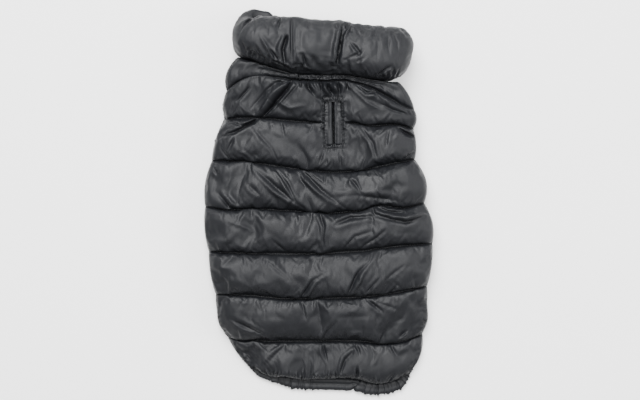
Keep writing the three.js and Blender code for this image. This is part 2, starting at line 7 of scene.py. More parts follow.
import logging
import math
from dataclasses import dataclass, field
from enum import Enum

import bmesh
import bpy
import numpy as np
from mathutils import Matrix, Vector


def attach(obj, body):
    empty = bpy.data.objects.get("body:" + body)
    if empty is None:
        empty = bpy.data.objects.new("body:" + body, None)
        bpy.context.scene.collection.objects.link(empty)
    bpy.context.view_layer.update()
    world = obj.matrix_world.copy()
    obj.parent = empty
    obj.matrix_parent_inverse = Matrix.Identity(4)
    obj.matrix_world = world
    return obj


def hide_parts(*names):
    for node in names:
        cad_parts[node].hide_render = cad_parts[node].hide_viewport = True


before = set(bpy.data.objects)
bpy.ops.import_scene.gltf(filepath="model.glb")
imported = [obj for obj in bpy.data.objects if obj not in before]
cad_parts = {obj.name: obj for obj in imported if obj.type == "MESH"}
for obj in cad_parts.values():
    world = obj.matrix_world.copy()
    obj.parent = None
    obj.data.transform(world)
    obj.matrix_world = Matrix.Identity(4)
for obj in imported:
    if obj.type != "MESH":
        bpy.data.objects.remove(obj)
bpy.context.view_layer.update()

log = logging.getLogger("dog_coat")

MM = 0.001
BODY = "root"
SEAM_GAP = 0.3


class Side(Enum):
    """A side of the coat as it is seen from above."""

    LEFT = -1
    RIGHT = 1


class Slot(Enum):
    """The record's material slots."""

    SHELL = "shell_fabric"
    TRIM = "trim_fabric"


def hermite(at: np.ndarray, knots: np.ndarray, values: np.ndarray) -> np.ndarray:
    """Reads a smooth curve through a table's rows, held level past its ends.

    Args:
        at: The places to read.
        knots: The table's rising first column.
        values: Its second column.

    Returns:
        The curve's values, in the shape of at.
    """
    slopes = np.gradient(values, knots)
    at = np.clip(at, knots[0], knots[-1])
    i = np.clip(np.searchsorted(knots, at, side="right") - 1, 0, len(knots) - 2)
    span = knots[i + 1] - knots[i]
    f = (at - knots[i]) / span
    hold = (2 * f - 3) * f * f + 1
    leave = ((f - 2) * f + 1) * f * span * slopes[i]
    arrive = (f - 1) * f * f * span * slopes[i + 1]
    return hold * values[i] + (1 - hold) * values[i + 1] + leave + arrive


def smoothstep(at: np.ndarray, low: float, high: float) -> np.ndarray:
    """Returns 0 below low, 1 above high, and a smooth rise between them."""
    f = np.clip((at - low) / (high - low), 0.0, 1.0)
    return f * f * (3 - 2 * f)


def ripples(x: np.ndarray, y: np.ndarray, seed: int, size: float, waves: int = 9) -> np.ndarray:
    """Returns seeded, smooth, uneven waves over a cloth.

    Args:
        x: Places across the coat.
        y: Places along the coat.
        seed: The seed of the waves.
        size: The mean length of a wave in millimetres.
        waves: How many waves are added together.

    Returns:
        A height at each place, with a spread of about 1.
    """
    draw = np.random.default_rng(seed)
    total = np.zeros_like(x)
    for _ in range(waves):
        turn, length = draw.uniform(0, 2 * math.pi), size * draw.uniform(0.6, 1.9)
        along = x * math.cos(turn) + y * math.sin(turn)
        total += np.sin(2 * math.pi * along / length + draw.uniform(0, 6.3))
    return total / math.sqrt(waves / 2)


def crumples(x: np.ndarray, y: np.ndarray, seed: int, size: float) -> np.ndarray:
    """Returns seeded crumples of thin cloth: soft patches that meet in sharp valleys.

    Args:
        x: Places across the coat.
        y: Places along the coat.
        seed: The seed of the crumples.
        size: The mean width of a patch in millimetres.

    Returns:
        A height at each place, of about 0 to 2 with a mean of 0.
    """
    bend = 0.2 * size * ripples(x, y, seed + 50, 2 * size, 5)
    large = np.abs(ripples(x + bend, y - bend, seed, 2 * size, 5))
    small = np.abs(ripples(x - bend, y + bend, seed + 1, size, 6))
    return large + 0.45 * small - 1.15


def edge_roll(distance: np.ndarray, roll: float) -> np.ndarray:
    """Returns the round of a padded edge: 0 at the edge and 1 at roll inside it."""
    rest = 1 - np.clip(distance / roll, 0.0, 1.0)
    return np.sqrt(np.maximum(0.0, 1 - rest * rest))


@dataclass(frozen=True)
class QuiltLine:
    """A line of quilting from the left edge to the right edge, and the channel below it."""

    points: tuple[tuple[float, float], ...]
    left_puff: float
    right_puff: float
    loft: float
    rows: int

    def y_at(self, x: np.ndarray) -> np.ndarray:
        """Returns the line's height on the plan at each x."""
        table = np.array(self.points, float)
        return hermite(x, table[:, 0], table[:, 1])


@dataclass(frozen=True)
class Crease:
    """A crease in the cloth: a trough, or a ridge where its depth is below 0."""

    path: tuple[tuple[float, float], ...]
    width: float = 2.2
    depth: float = 2.0
    lips: float = 0.35
    lean: float = 0.0

    def core(self, least: float = 0.8) -> "Crease":
        """Returns the crease's sharp line, at least so wide, which the simulation has softened."""
        return Crease(self.path, max(least, self.width * 0.42), self.depth * 0.42, 0.25, self.lean)

    def lift(self, x: np.ndarray, y: np.ndarray) -> np.ndarray:
        """Works out how far the crease moves the cloth.

        Args:
            x: Places across the coat.
            y: Places along the coat.

        Returns:
            The change of height at each place.
        """
        path = np.array(self.path, float)
        steps = np.hypot(*np.diff(path, axis=0).T)
        starts = np.concatenate([[0.0], np.cumsum(steps)])
        reach = 6 * self.width
        near = (
            (x > path[:, 0].min() - reach) & (x < path[:, 0].max() + reach)
            & (y > path[:, 1].min() - reach) & (y < path[:, 1].max() + reach)
        )
        lifted = np.zeros_like(x)
        if not near.any():
            return lifted
        px, py = x[near], y[near]
        best = np.full(px.shape, 1e9)
        along = np.zeros(px.shape)
        side = np.ones(px.shape)
        for k, step in enumerate(steps):
            run = (path[k + 1] - path[k]) / step
            dx, dy = px - path[k, 0], py - path[k, 1]
            on = np.clip(dx * run[0] + dy * run[1], 0.0, step)
            away = np.hypot(dx - on * run[0], dy - on * run[1])
            closer = away < best
            best = np.where(closer, away, best)
            along = np.where(closer, starts[k] + on, along)
            side = np.where(closer, np.sign(run[0] * dy - run[1] * dx), side)
        share = along / starts[-1]
        phase = path[0, 0] * 0.7 + path[0, 1] * 1.3
        lean = self.lean or math.sin(phase)
        fade = np.sin(math.pi * (0.05 + 0.9 * share ** (1 + 0.35 * math.sin(2 * phase))))
        fade *= 0.8 + 0.2 * np.cos(5 * share + phase)
        width = self.width * (0.55 + 0.45 * fade)
        trough = np.exp(-((best / width) ** 2))
        lip = np.exp(-(((best - 1.8 * width) / (1.2 * width)) ** 2)) * (1 + lean * side)
        lifted[near] = self.depth * fade * (self.lips * lip - trough)
        return lifted


class CoatPlan:
    """The coat's plan and heights, which its padded pieces share."""

    lines: tuple[QuiltLine, ...] = (
        QuiltLine(((-85, 152), (-60, 144), (-41, 138), (-28, 134.5), (0, 133), (28, 132.5), (55, 128),
                   (70, 126), (83, 126)), 5, 1.5, 14, 8),
        QuiltLine(((-97, 117), (-83, 126), (-60, 130.5), (-30, 128.5), (0, 127), (27, 126.5), (56, 119),
                   (74, 109.5), (88, 101), (100, 97)), 2, 2, 20, 22),
        QuiltLine(((-98, 88), (-64, 88), (-20, 84.5), (12, 83), (35, 83), (48, 81), (85, 80.5), (99, 77)),
                  2, 1.2, 20.5, 25),
        QuiltLine(((-113, 43.5), (-78, 42), (-46, 38), (-9.5, 33), (22, 32), (54, 35.5), (75, 40), (101, 45)),
                  2.5, 6, 21.5, 21),
        QuiltLine(((-120, -5), (-99, -8), (-72, -7.5), (-20, -10), (12, -11.5), (27, -10.5), (48, -7.5),
                   (56, -5), (93, -5.5), (111, -1)), 1.5, 3.5, 21.5, 22),
        QuiltLine(((-116, -52.5), (-72, -54), (-30, -54.5), (6, -54), (27, -52.5), (54, -50.5), (75, -47.5),
                   (119.5, -44)), 1, 1, 21, 23),
        QuiltLine(((-109, -97.5), (-72, -98.5), (-36, -101.5), (12, -101), (54, -99), (75, -96.5), (96, -92.5),
                   (114, -89)), 4.5, 2.8, 20.5, 23),
        QuiltLine(((-92, -143), (-83, -146), (-70, -147), (-20, -147.5), (33, -147), (90, -146.5), (105, -140)),
                  1.5, 6.4, 18.5, 18),
        QuiltLine(((-62, -182), (-52, -185), (-38, -186), (-15, -187.5), (12, -188), (40, -189.5),
                   (60, -193.5), (84, -189.5)), 0, 0, 20, 0),
    )
    inner_face: tuple[tuple[float, float], ...] = (
        (0, 28), (1, 23), (2, 18.5), (3, 17), (5, 16.5), (6, 14.5), (6.35, 9), (6.7, 5.5), (7.3, 0), (8, 0),
    )
    full_channel: float = 32
    row_bunching: float = 0.42
    seam_thickness: float = 9.2
    neck_thickness: float = 5
    edge_thickness: float = 2.6
    neck_open_height: float = 9
    neck_open_ends_at: float = 1.6
    belly_end: float = 6.35
    slot_centre: tuple[float, float] = (15, 83)
    slot_tilt: float = math.radians(1.5)
    slot_frame_half: tuple[float, float] = (10.8, 27.5)
    slot_frame_thickness: float = 16.8

    def channel(self, line: np.ndarray) -> tuple[np.ndarray, np.ndarray]:
        """Returns the number of the channel that each line value is in, and its share across it."""
        above = np.clip(np.floor(line).astype(int), 0, len(self.lines) - 2)
        return above, line - above

    def edges(self, line: np.ndarray) -> tuple[np.ndarray, np.ndarray]:
        """Returns the coat's left and right edges at each line value."""
        above, part = self.channel(line)
        left = np.array([q.points[0][0] for q in self.lines])
        right = np.array([q.points[-1][0] for q in self.lines])
        puff = np.sin(math.pi * part)
        left_puff = np.array([q.left_puff for q in self.lines])[above] * puff
        right_puff = np.array([q.right_puff for q in self.lines])[above] * puff
        return (
            left[above] + (left[above + 1] - left[above]) * part - left_puff,
            right[above] + (right[above + 1] - right[above]) * part + right_puff,
        )

    def walls(self, x: np.ndarray, line: np.ndarray) -> tuple[np.ndarray, np.ndarray]:
        """Returns the plan heights of the lines above and below each place."""
        above, _ = self.channel(line)
        heights = np.stack([quilt.y_at(x) for quilt in self.lines])
        places = np.arange(x.size)
        flat = heights.reshape(len(self.lines), -1)
        upper = flat[above.ravel(), places].reshape(x.shape)
        lower = flat[above.ravel() + 1, places].reshape(x.shape)
        return upper, lower

    def point(self, across: np.ndarray, line: np.ndarray) -> tuple[np.ndarray, np.ndarray]:
        """Places a point of the plan.

        Args:
            across: From -1 at the left edge to 1 at the right edge.
            line: The number of quilting lines from the neck.

        Returns:
            The x and y of each place.
        """
        left, right = self.edges(line)
        x = left + (right - left) * (across + 1) / 2
        upper, lower = self.walls(x, line)
        _, part = self.channel(line)
        return x, upper + (lower - upper) * part

    def across_at(self, x: np.ndarray, line: np.ndarray) -> np.ndarray:
        """Returns how far across the coat each x is, from -1 to 1."""
        left, right = self.edges(line)
        return np.clip((x - left) / (right - left) * 2 - 1, -1, 1)

    def half_width(self, line: np.ndarray) -> np.ndarray:
        """Returns half of the coat's width at each line value."""
        left, right = self.edges(line)
        return (right - left) / 2

    def inner_height(self, line: np.ndarray) -> np.ndarray:
        """Returns the height of the face between the back and the belly."""
        table = np.array(self.inner_face, float)
        return np.interp(line, table[:, 0], table[:, 1])

    def inner_gap(self, across: np.ndarray, line: np.ndarray) -> np.ndarray:
        """Returns how far the back and the belly lie apart."""
        standing = 1 - np.minimum(1.0, line / self.neck_open_ends_at)
        return 0.6 + self.neck_open_height * standing * (1 - across * across)

    def back_inside(self, across: np.ndarray, line: np.ndarray) -> np.ndarray:
        """Returns the height of the back's underside."""
        lift = np.where(line > self.belly_end, 0.0, self.inner_gap(across, line) / 2)
        return self.inner_height(line) + lift

    def pillow(self, x: np.ndarray, line: np.ndarray, power: float = 4.0) -> np.ndarray:
        """Returns a channel's height from 0 at its lines of quilting to 1 at its crown."""
        upper, lower = self.walls(x, line)
        _, part = self.channel(line)
        from_crown = np.abs(2 * part - 1)
        room = np.minimum(1.0, (upper - lower) / self.full_channel)
        return np.sqrt(np.maximum(0.0, 1 - from_crown ** power)) * room

    def slot_press(self, x: np.ndarray, y: np.ndarray, fade: float = 9.0) -> np.ndarray:
        """Returns how much the leash slot's stitched frame presses the padding flat."""
        dx, dy = x - self.slot_centre[0], y - self.slot_centre[1]
        turn = -self.slot_tilt
        ax = np.abs(dx * math.cos(turn) - dy * math.sin(turn)) - self.slot_frame_half[0]
        ay = np.abs(dx * math.sin(turn) + dy * math.cos(turn)) - self.slot_frame_half[1]
        away = np.hypot(np.maximum(ax, 0), np.maximum(ay, 0))
        return 1 - smoothstep(away, 0, fade)

    def back_thickness(self, across: np.ndarray, line: np.ndarray) -> np.ndarray:
        """Returns the thickness of the padded back over its underside, with no creases."""
        x, y = self.point(across, line)
        above, _ = self.channel(line)
        loft = np.array([q.loft for q in self.lines])[above]
        seam = np.interp(line, (0.5, 0.6, 7.5, 8), (self.neck_thickness, self.seam_thickness,
                                                    self.seam_thickness, self.neck_thickness))
        height = seam + (loft - seam) * self.pillow(x, line)
        press = self.slot_press(x, y)
        height = height + (self.slot_frame_thickness - height) * press
        roll = edge_roll((1 - np.abs(across)) * self.half_width(line), 24)
        return self.edge_thickness + (height - self.edge_thickness) * roll

    def row_lines(self, rows: np.ndarray, end: float = 8) -> np.ndarray:
        """Returns the line value of each row of a grid, with each channel's own share of rows."""
        counts = np.array([0, *[q.rows for q in self.lines[:-1]]])
        even = np.interp(rows * self.row_count(end), np.cumsum(counts), np.arange(len(counts)))
        return even - self.row_bunching * np.sin(2 * math.pi * even) / (2 * math.pi)

    def row_count(self, end: float = 8) -> float:
        """Returns the number of rows from the neck to a line value."""
        counts = np.array([0, *[q.rows for q in self.lines[:-1]]])
        return float(np.interp(end, np.arange(len(counts)), np.cumsum(counts)))


PLAN = CoatPlan()


# Mesh helpers.


def linear(code: str) -> tuple[float, float, float, float]:
    """Turns an sRGB hex colour into the linear colour that a shader takes."""
    parts = [int(code[i:i + 2], 16) / 255 for i in (1, 3, 5)]
    return (*[p / 12.92 if p <= 0.04045 else ((p + 0.055) / 1.055) ** 2.4 for p in parts], 1.0)


def read_points(mesh: bpy.types.Mesh) -> np.ndarray:
    """Returns a mesh's vertex places as rows of x, y and z."""
    flat = np.zeros(len(mesh.vertices) * 3, np.float32)
    mesh.vertices.foreach_get("co", flat)
    return flat.reshape(-1, 3).astype(float)


def write_points(mesh: bpy.types.Mesh, points: np.ndarray) -> None:
    """Moves a mesh's vertices to the given places."""
    mesh.vertices.foreach_set("co", points.astype(np.float32).ravel())
    mesh.update()


def read_value(mesh: bpy.types.Mesh, name: str) -> np.ndarray:
    """Returns a vertex attribute of a mesh."""
    flat = np.zeros(len(mesh.vertices), np.float32)
    mesh.attributes[name].data.foreach_get("value", flat)
    return flat.astype(float)


def write_value(mesh: bpy.types.Mesh, name: str, values: np.ndarray) -> None:
    """Keeps a value for each vertex of a mesh under a name."""
    layer = mesh.attributes.get(name) or mesh.attributes.new(name, "FLOAT", "POINT")
    layer.data.foreach_set("value", values.astype(np.float32))


def new_object(name: str, bm: bmesh.types.BMesh) -> bpy.types.Object:
    """Turns a bmesh into an object of the scene and frees it."""
    mesh = bpy.data.meshes.new(name)
    bm.to_mesh(mesh)
    bm.free()
    made = bpy.data.objects.new(name, mesh)
    bpy.context.scene.collection.objects.link(made)
    return made


def apply_modifier(target: bpy.types.Object, name: str) -> None:
    """Applies one modifier of an object."""
    bpy.context.view_layer.objects.active = target
    with bpy.context.temp_override(object=target, active_object=target, selected_objects=[target]):
        bpy.ops.object.modifier_apply(modifier=name)


def subdivide(target: bpy.types.Object, levels: int = 1) -> None:
    """Smooths a mesh by subdivision and applies it."""
    finer = target.modifiers.new("finer", "SUBSURF")
    finer.levels = finer.render_levels = levels
    finer.boundary_smooth = "PRESERVE_CORNERS"
    apply_modifier(target, "finer")


def grid_object(name: str, columns: int, rows: int) -> tuple[bpy.types.Object, np.ndarray, np.ndarray]:
    """Makes a flat grid to be shaped.

    Args:
        name: The object's name.
        columns: Faces along the first direction.
        rows: Faces along the second direction.

    Returns:
        The object, and each vertex's share from 0 to 1 along both directions.
    """
    bm = bmesh.new()
    bmesh.ops.create_grid(bm, x_segments=columns, y_segments=rows, size=0.5)
    made = new_object(name, bm)
    flat = read_points(made.data)
    first = np.round((flat[:, 0] + 0.5) * columns) / columns
    second = np.round((0.5 - flat[:, 1]) * rows) / rows
    return made, first, second


def shade_smooth(target: bpy.types.Object) -> None:
    """Shades every face of a mesh smooth."""
    mesh = target.data
    mesh.polygons.foreach_set("use_smooth", np.ones(len(mesh.polygons), bool))


def face_outwards(target: bpy.types.Object, merge: float = 0.0) -> None:
    """Merges doubled vertices within a distance and turns a closed mesh's faces outwards."""
    bm = bmesh.new()
    bm.from_mesh(target.data)
    if merge:
        bmesh.ops.remove_doubles(bm, verts=bm.verts[:], dist=merge)
    bmesh.ops.recalc_face_normals(bm, faces=bm.faces[:])
    bm.to_mesh(target.data)
    bm.free()


@dataclass
class Inflation:
    """A cloth simulation that fills a padded piece: the cloth is cut wider than its seams."""

    pressure: float = 4.0
    growth: float = 0.085
    frames: int = 22
    cap: float = 7.0
    bending: float = 0.012
    mass: float = 0.11
    cap_down: float = 5.0

    def run(self, target: bpy.types.Object, pinned: np.ndarray, fullness: np.ndarray) -> None:
        """Simulates a piece and applies the result, with each vertex's move capped.

        Args:
            target: The piece, shaped and in metres.
            pinned: For each vertex, whether a seam holds it.
            fullness: For each vertex, how much of the growth its cloth has, from 0 to 1.
        """
        scene = bpy.context.scene
        before = read_points(target.data)
        group = target.vertex_groups.new(name="seams")
        group.add([int(i) for i in np.flatnonzero(pinned)], 1.0, "REPLACE")
        tight = target.vertex_groups.new(name="tight")
        for level in range(1, 11):
            at = np.flatnonzero(np.round(np.clip(1 - fullness, 0, 1) * 10) == level)
            if len(at):
                tight.add([int(i) for i in at], level / 10, "REPLACE")
        cloth = target.modifiers.new("cloth", "CLOTH")
        settings = cloth.settings
        settings.quality = 5
        settings.mass = self.mass
        settings.tension_stiffness = 15
        settings.compression_stiffness = 15
        settings.shear_stiffness = 8
        settings.bending_stiffness = self.bending
        settings.air_damping = 1.5
        settings.use_pressure = True
        settings.uniform_pressure_force = self.pressure
        settings.shrink_min = -self.growth
        settings.shrink_max = 0.0
        settings.vertex_group_shrink = "tight"
        settings.vertex_group_mass = "seams"
        settings.effector_weights.gravity = 0.0
        cloth.collision_settings.use_collision = False
        cloth.point_cache.frame_start = 1
        cloth.point_cache.frame_end = self.frames + 1
        for step in range(1, self.frames + 1):
            scene.frame_set(step)
        apply_modifier(target, "cloth")
        scene.frame_set(1)
        target.vertex_groups.clear()
        move = read_points(target.data) - before
        length = np.linalg.norm(move, axis=1)
        limit = self.cap * MM * np.tanh(length / (self.cap * MM)) / np.maximum(length, 1e-9)
        move *= limit[:, None]
        move[:, 2] = np.where(move[:, 2] < 0, np.maximum(move[:, 2], -self.cap_down * MM), move[:, 2])
        write_points(target.data, before + move)


# Finishes.


def add_node(tree: bpy.types.NodeTree, kind: str, inputs: dict[str | int, object] | None = None,
             **settings: object) -> bpy.types.Node:
    """Adds a node with its settings, values and links.

    Args:
        tree: The node tree.
        kind: The node's type.
        inputs: For each input, a value, or the output socket that is linked to it.
        settings: The node's own settings.

    Returns:
        The node.
    """
    node = tree.nodes.new(kind)
    for key, value in settings.items():
        setattr(node, key, value)
    for key, value in (inputs or {}).items():
        if isinstance(value, bpy.types.NodeSocket):
            tree.links.new(value, node.inputs[key])
        else:
            node.inputs[key].default_value = value
    return node


def blank_material(name: str) -> tuple[bpy.types.Material, bpy.types.NodeTree]:
    """Returns a new material and its emptied node tree."""
    material = bpy.data.materials.new(name)
    material.use_nodes = True
    material.node_tree.nodes.clear()
    return material, material.node_tree


def per_metre(size_mm: float) -> float:
    """Returns the texture scale whose cells have a size in millimetres."""
    return 1 / (size_mm * MM)


def per_radian(size_mm: float) -> float:
    """Returns the scale of a wave texture, which turns through 20 radians in each unit.

    Args:
        size_mm: The length of one radian of the wave; a whole wave is 6.3 times as long.

    Returns:
        The texture's scale.
    """
    return per_metre(size_mm) / 20


@dataclass(frozen=True)
class NylonTaffeta:
    """Down-proof nylon taffeta, calendered: a thin, tight plain weave with a soft sheen.

    It crumples in small facets and takes broad, soft highlights.
    """

    name: str = "nylon_taffeta_charcoal"
    colour: str = "#0e0f12"
    worn: str = "#131417"
    roughness: float = 0.54
    sheen: float = 0.32
    crinkle_mm: float = 9.0
    weave_mm: float = 1.1
    stitch_mm: float = 2.4

    def build(self) -> bpy.types.Material:
        """Returns the material."""
        material, tree = blank_material(self.name)
        place = add_node(tree, "ShaderNodeTexCoord").outputs["Object"]
        patches = add_node(tree, "ShaderNodeTexNoise", {"Vector": place, "Scale": per_metre(45), "Detail": 3.0})
        colour = add_node(tree, "ShaderNodeMix", {0: patches.outputs[0], 6: linear(self.colour),
                                                  7: linear(self.worn)}, data_type="RGBA")
        gloss = add_node(tree, "ShaderNodeMapRange", {
            "Value": patches.outputs[0], "From Min": 0.3, "From Max": 0.7,
            "To Min": self.roughness - 0.04, "To Max": self.roughness + 0.05})
        crinkle = add_node(tree, "ShaderNodeTexVoronoi", {
            "Vector": place, "Scale": per_metre(self.crinkle_mm), "Randomness": 1.0}, feature="SMOOTH_F1")
        soft = add_node(tree, "ShaderNodeTexNoise", {"Vector": place, "Scale": per_metre(5), "Detail": 2.0})
        crumple = add_node(tree, "ShaderNodeBump", {
            "Height": crinkle.outputs["Distance"], "Strength": 0.16, "Distance": 1.2 * MM})
        ripple = add_node(tree, "ShaderNodeBump", {
            "Height": soft.outputs[0], "Strength": 0.22, "Distance": 0.5 * MM,
            "Normal": crumple.outputs["Normal"]})
        # The threads lie 0.15 mm apart; the weave is drawn 46 times as coarse, so that it shows.
        warp = add_node(tree, "ShaderNodeTexWave", {"Vector": place, "Scale": per_radian(self.weave_mm)},
                        bands_direction="X", wave_profile="SIN")
        weft = add_node(tree, "ShaderNodeTexWave", {"Vector": place, "Scale": per_radian(self.weave_mm)},
                        bands_direction="Y", wave_profile="SIN")
        cloth = add_node(tree, "ShaderNodeMath", {0: warp.outputs["Fac"], 1: weft.outputs["Fac"]},
                         operation="MULTIPLY")
        weave = add_node(tree, "ShaderNodeBump", {
            "Height": cloth.outputs[0], "Strength": 0.05, "Distance": 0.15 * MM,
            "Normal": ripple.outputs["Normal"]})
        # The cloth puckers at each stitch of a seam; seam is 1 on the seam and fades beside it.
        seam = add_node(tree, "ShaderNodeAttribute", attribute_name="seam")
        teeth = add_node(tree, "ShaderNodeTexWave", {
            "Vector": place, "Scale": per_radian(self.stitch_mm), "Distortion": 1.6,
            "Detail": 1.0, "Detail Scale": 0.3}, bands_direction="X", wave_profile="SIN")
        pinch = add_node(tree, "ShaderNodeMath", {0: teeth.outputs["Fac"], 1: seam.outputs["Fac"]},
                         operation="MULTIPLY")
        pucker = add_node(tree, "ShaderNodeBump", {
            "Height": pinch.outputs[0], "Strength": 0.5, "Distance": 0.9 * MM,
            "Normal": weave.outputs["Normal"]})
        shader = add_node(tree, "ShaderNodeBsdfPrincipled", {
            "Base Color": colour.outputs[2], "Roughness": gloss.outputs["Result"], "IOR": 1.4,
            "Specular IOR Level": self.sheen,
            "Normal": pucker.outputs["Normal"]})
        add_node(tree, "ShaderNodeOutputMaterial", {"Surface": shader.outputs[0]})
        return material


@dataclass(frozen=True)
class ElasticBinding:
    """Knitted polyester binding over elastic: matt, ribbed along its length, with painted shade in the rib
    grooves.
    """

    name: str = "knitted_elastic_dark"
    colour: str = "#232427"
    # The darker colour of the rib grooves is painted shade.
    groove_shade_colour: str = "#1b1c1e"
    rib_mm: float = 1.2
    roughness: float = 0.82

    def build(self) -> bpy.types.Material:
        """Returns the material."""
        material, tree = blank_material(self.name)
        place = add_node(tree, "ShaderNodeTexCoord").outputs["UV"]
        ribs = add_node(tree, "ShaderNodeTexWave", {"Vector": place, "Scale": per_radian(self.rib_mm)},
                        bands_direction="Y", wave_profile="SIN")
        relief = add_node(tree, "ShaderNodeBump", {
            "Height": ribs.outputs["Fac"], "Strength": 0.5, "Distance": 0.3 * MM})
        # Painted shade: the rib grooves take a darker colour than the ribs' tops.
        shade = add_node(tree, "ShaderNodeMix", {0: ribs.outputs["Fac"], 6: linear(self.groove_shade_colour),
                                                 7: linear(self.colour)}, data_type="RGBA")
        shader = add_node(tree, "ShaderNodeBsdfPrincipled", {
            "Base Color": shade.outputs[2], "Roughness": self.roughness, "Sheen Weight": 0.2,
            "Normal": relief.outputs["Normal"]})
        add_node(tree, "ShaderNodeOutputMaterial", {"Surface": shader.outputs[0]})
        return material


@dataclass(frozen=True)
class SewingThread:
    """Spun polyester sewing thread: matt, a shade darker than the cloth."""

    name: str = "polyester_thread_dark"
    colour: str = "#0a0a0b"
    twist_mm: float = 0.5

    def build(self) -> bpy.types.Material:
        """Returns the material."""
        material, tree = blank_material(self.name)
        place = add_node(tree, "ShaderNodeTexCoord").outputs["Object"]
        twist = add_node(tree, "ShaderNodeTexWave", {"Vector": place, "Scale": per_radian(self.twist_mm)},
                         bands_direction="DIAGONAL", wave_profile="SIN")
        relief = add_node(tree, "ShaderNodeBump", {
            "Height": twist.outputs["Fac"], "Strength": 0.3, "Distance": 0.05 * MM})
        shader = add_node(tree, "ShaderNodeBsdfPrincipled", {
            "Base Color": linear(self.colour), "Roughness": 0.9, "Specular IOR Level": 0.25,
            "Normal": relief.outputs["Normal"]})
        add_node(tree, "ShaderNodeOutputMaterial", {"Surface": shader.outputs[0]})
        return material


@dataclass
class Finishes:
    """The coat's finishes, each built once."""

    shell: bpy.types.Material = field(default_factory=lambda: NylonTaffeta().build())
    trim: bpy.types.Material = field(default_factory=lambda: ElasticBinding().build())
    thread: bpy.types.Material = field(default_factory=lambda: SewingThread().build())


def hand_over(piece: bpy.types.Object, material: bpy.types.Material, slot: Slot | None, *nodes: str) -> None:
    """Dresses a finished piece and tells the frame what it stands for.

    Args:
        piece: The piece.
        material: Its material.
        slot: Not used.
        nodes: The solids that it stands for.
    """
    piece.data.materials.clear()
    piece.data.materials.append(material)
    shade_smooth(piece)
    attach(piece, BODY)
    if nodes:
        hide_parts(*nodes)
    log.info("%s: %d faces", piece.name, len(piece.data.polygons))


# Padded pieces.


def slot_rows() -> list[np.ndarray]:
    """Returns the rows of sewing round the leash slot: its sides, and a bar at each end."""
    half_x, half_y = PLAN.slot_frame_half
    rows = [
        [(-half_x + 0.6, half_y - 1), (-half_x + 0.6, -half_y + 1)],
        [(half_x - 0.6, half_y - 1), (half_x - 0.6, -half_y + 1)],
    ]
    for end in (-1, 1):
        rows += [[(-half_x + 0.6, end * (half_y - inset)), (half_x - 0.6, end * (half_y - inset))]
                 for inset in (1.0, 4.4)]
    cos, sin = math.cos(PLAN.slot_tilt), math.sin(PLAN.slot_tilt)
    turned = []
    for row in rows:
        flat = np.array(row, float)
        turned.append(np.stack([PLAN.slot_centre[0] + flat[:, 0] * cos - flat[:, 1] * sin,
                                PLAN.slot_centre[1] + flat[:, 0] * sin + flat[:, 1] * cos], axis=1))
    return turned


def puckers(lines: tuple[QuiltLine, ...], left: float, right: float, seed: int, depth: float) -> list[Crease]:
    """Draws the short, uneven puckers that run out from both sides of each line of quilting.

    Args:
        lines: The lines of quilting.
        left: Where the puckers start across the coat.
        right: Where they end.
        seed: The seed of their unevenness.
        depth: The mean depth of a pucker.

    Returns:
        The puckers as creases.
    """
    draw = np.random.default_rng(seed)
    found = []
    for quilt in lines:
        for way in (-1, 1):
            x = left + draw.uniform(0, 6)
            while x < right:
                y = float(quilt.y_at(np.array([x]))[0])
                length = draw.uniform(5, 15)
                lean = draw.normal(0, 0.55) * length
                start = (x, y + way * 0.6)
                middle = (x + lean * 0.4, y + way * length * 0.5)
                end = (x + lean, y + way * length)
                found.append(Crease((start, middle, end), width=draw.uniform(1.1, 1.9),
                                    depth=depth * draw.uniform(0.4, 1.5), lips=0.5))
                x += draw.uniform(3.5, 10)
    return found


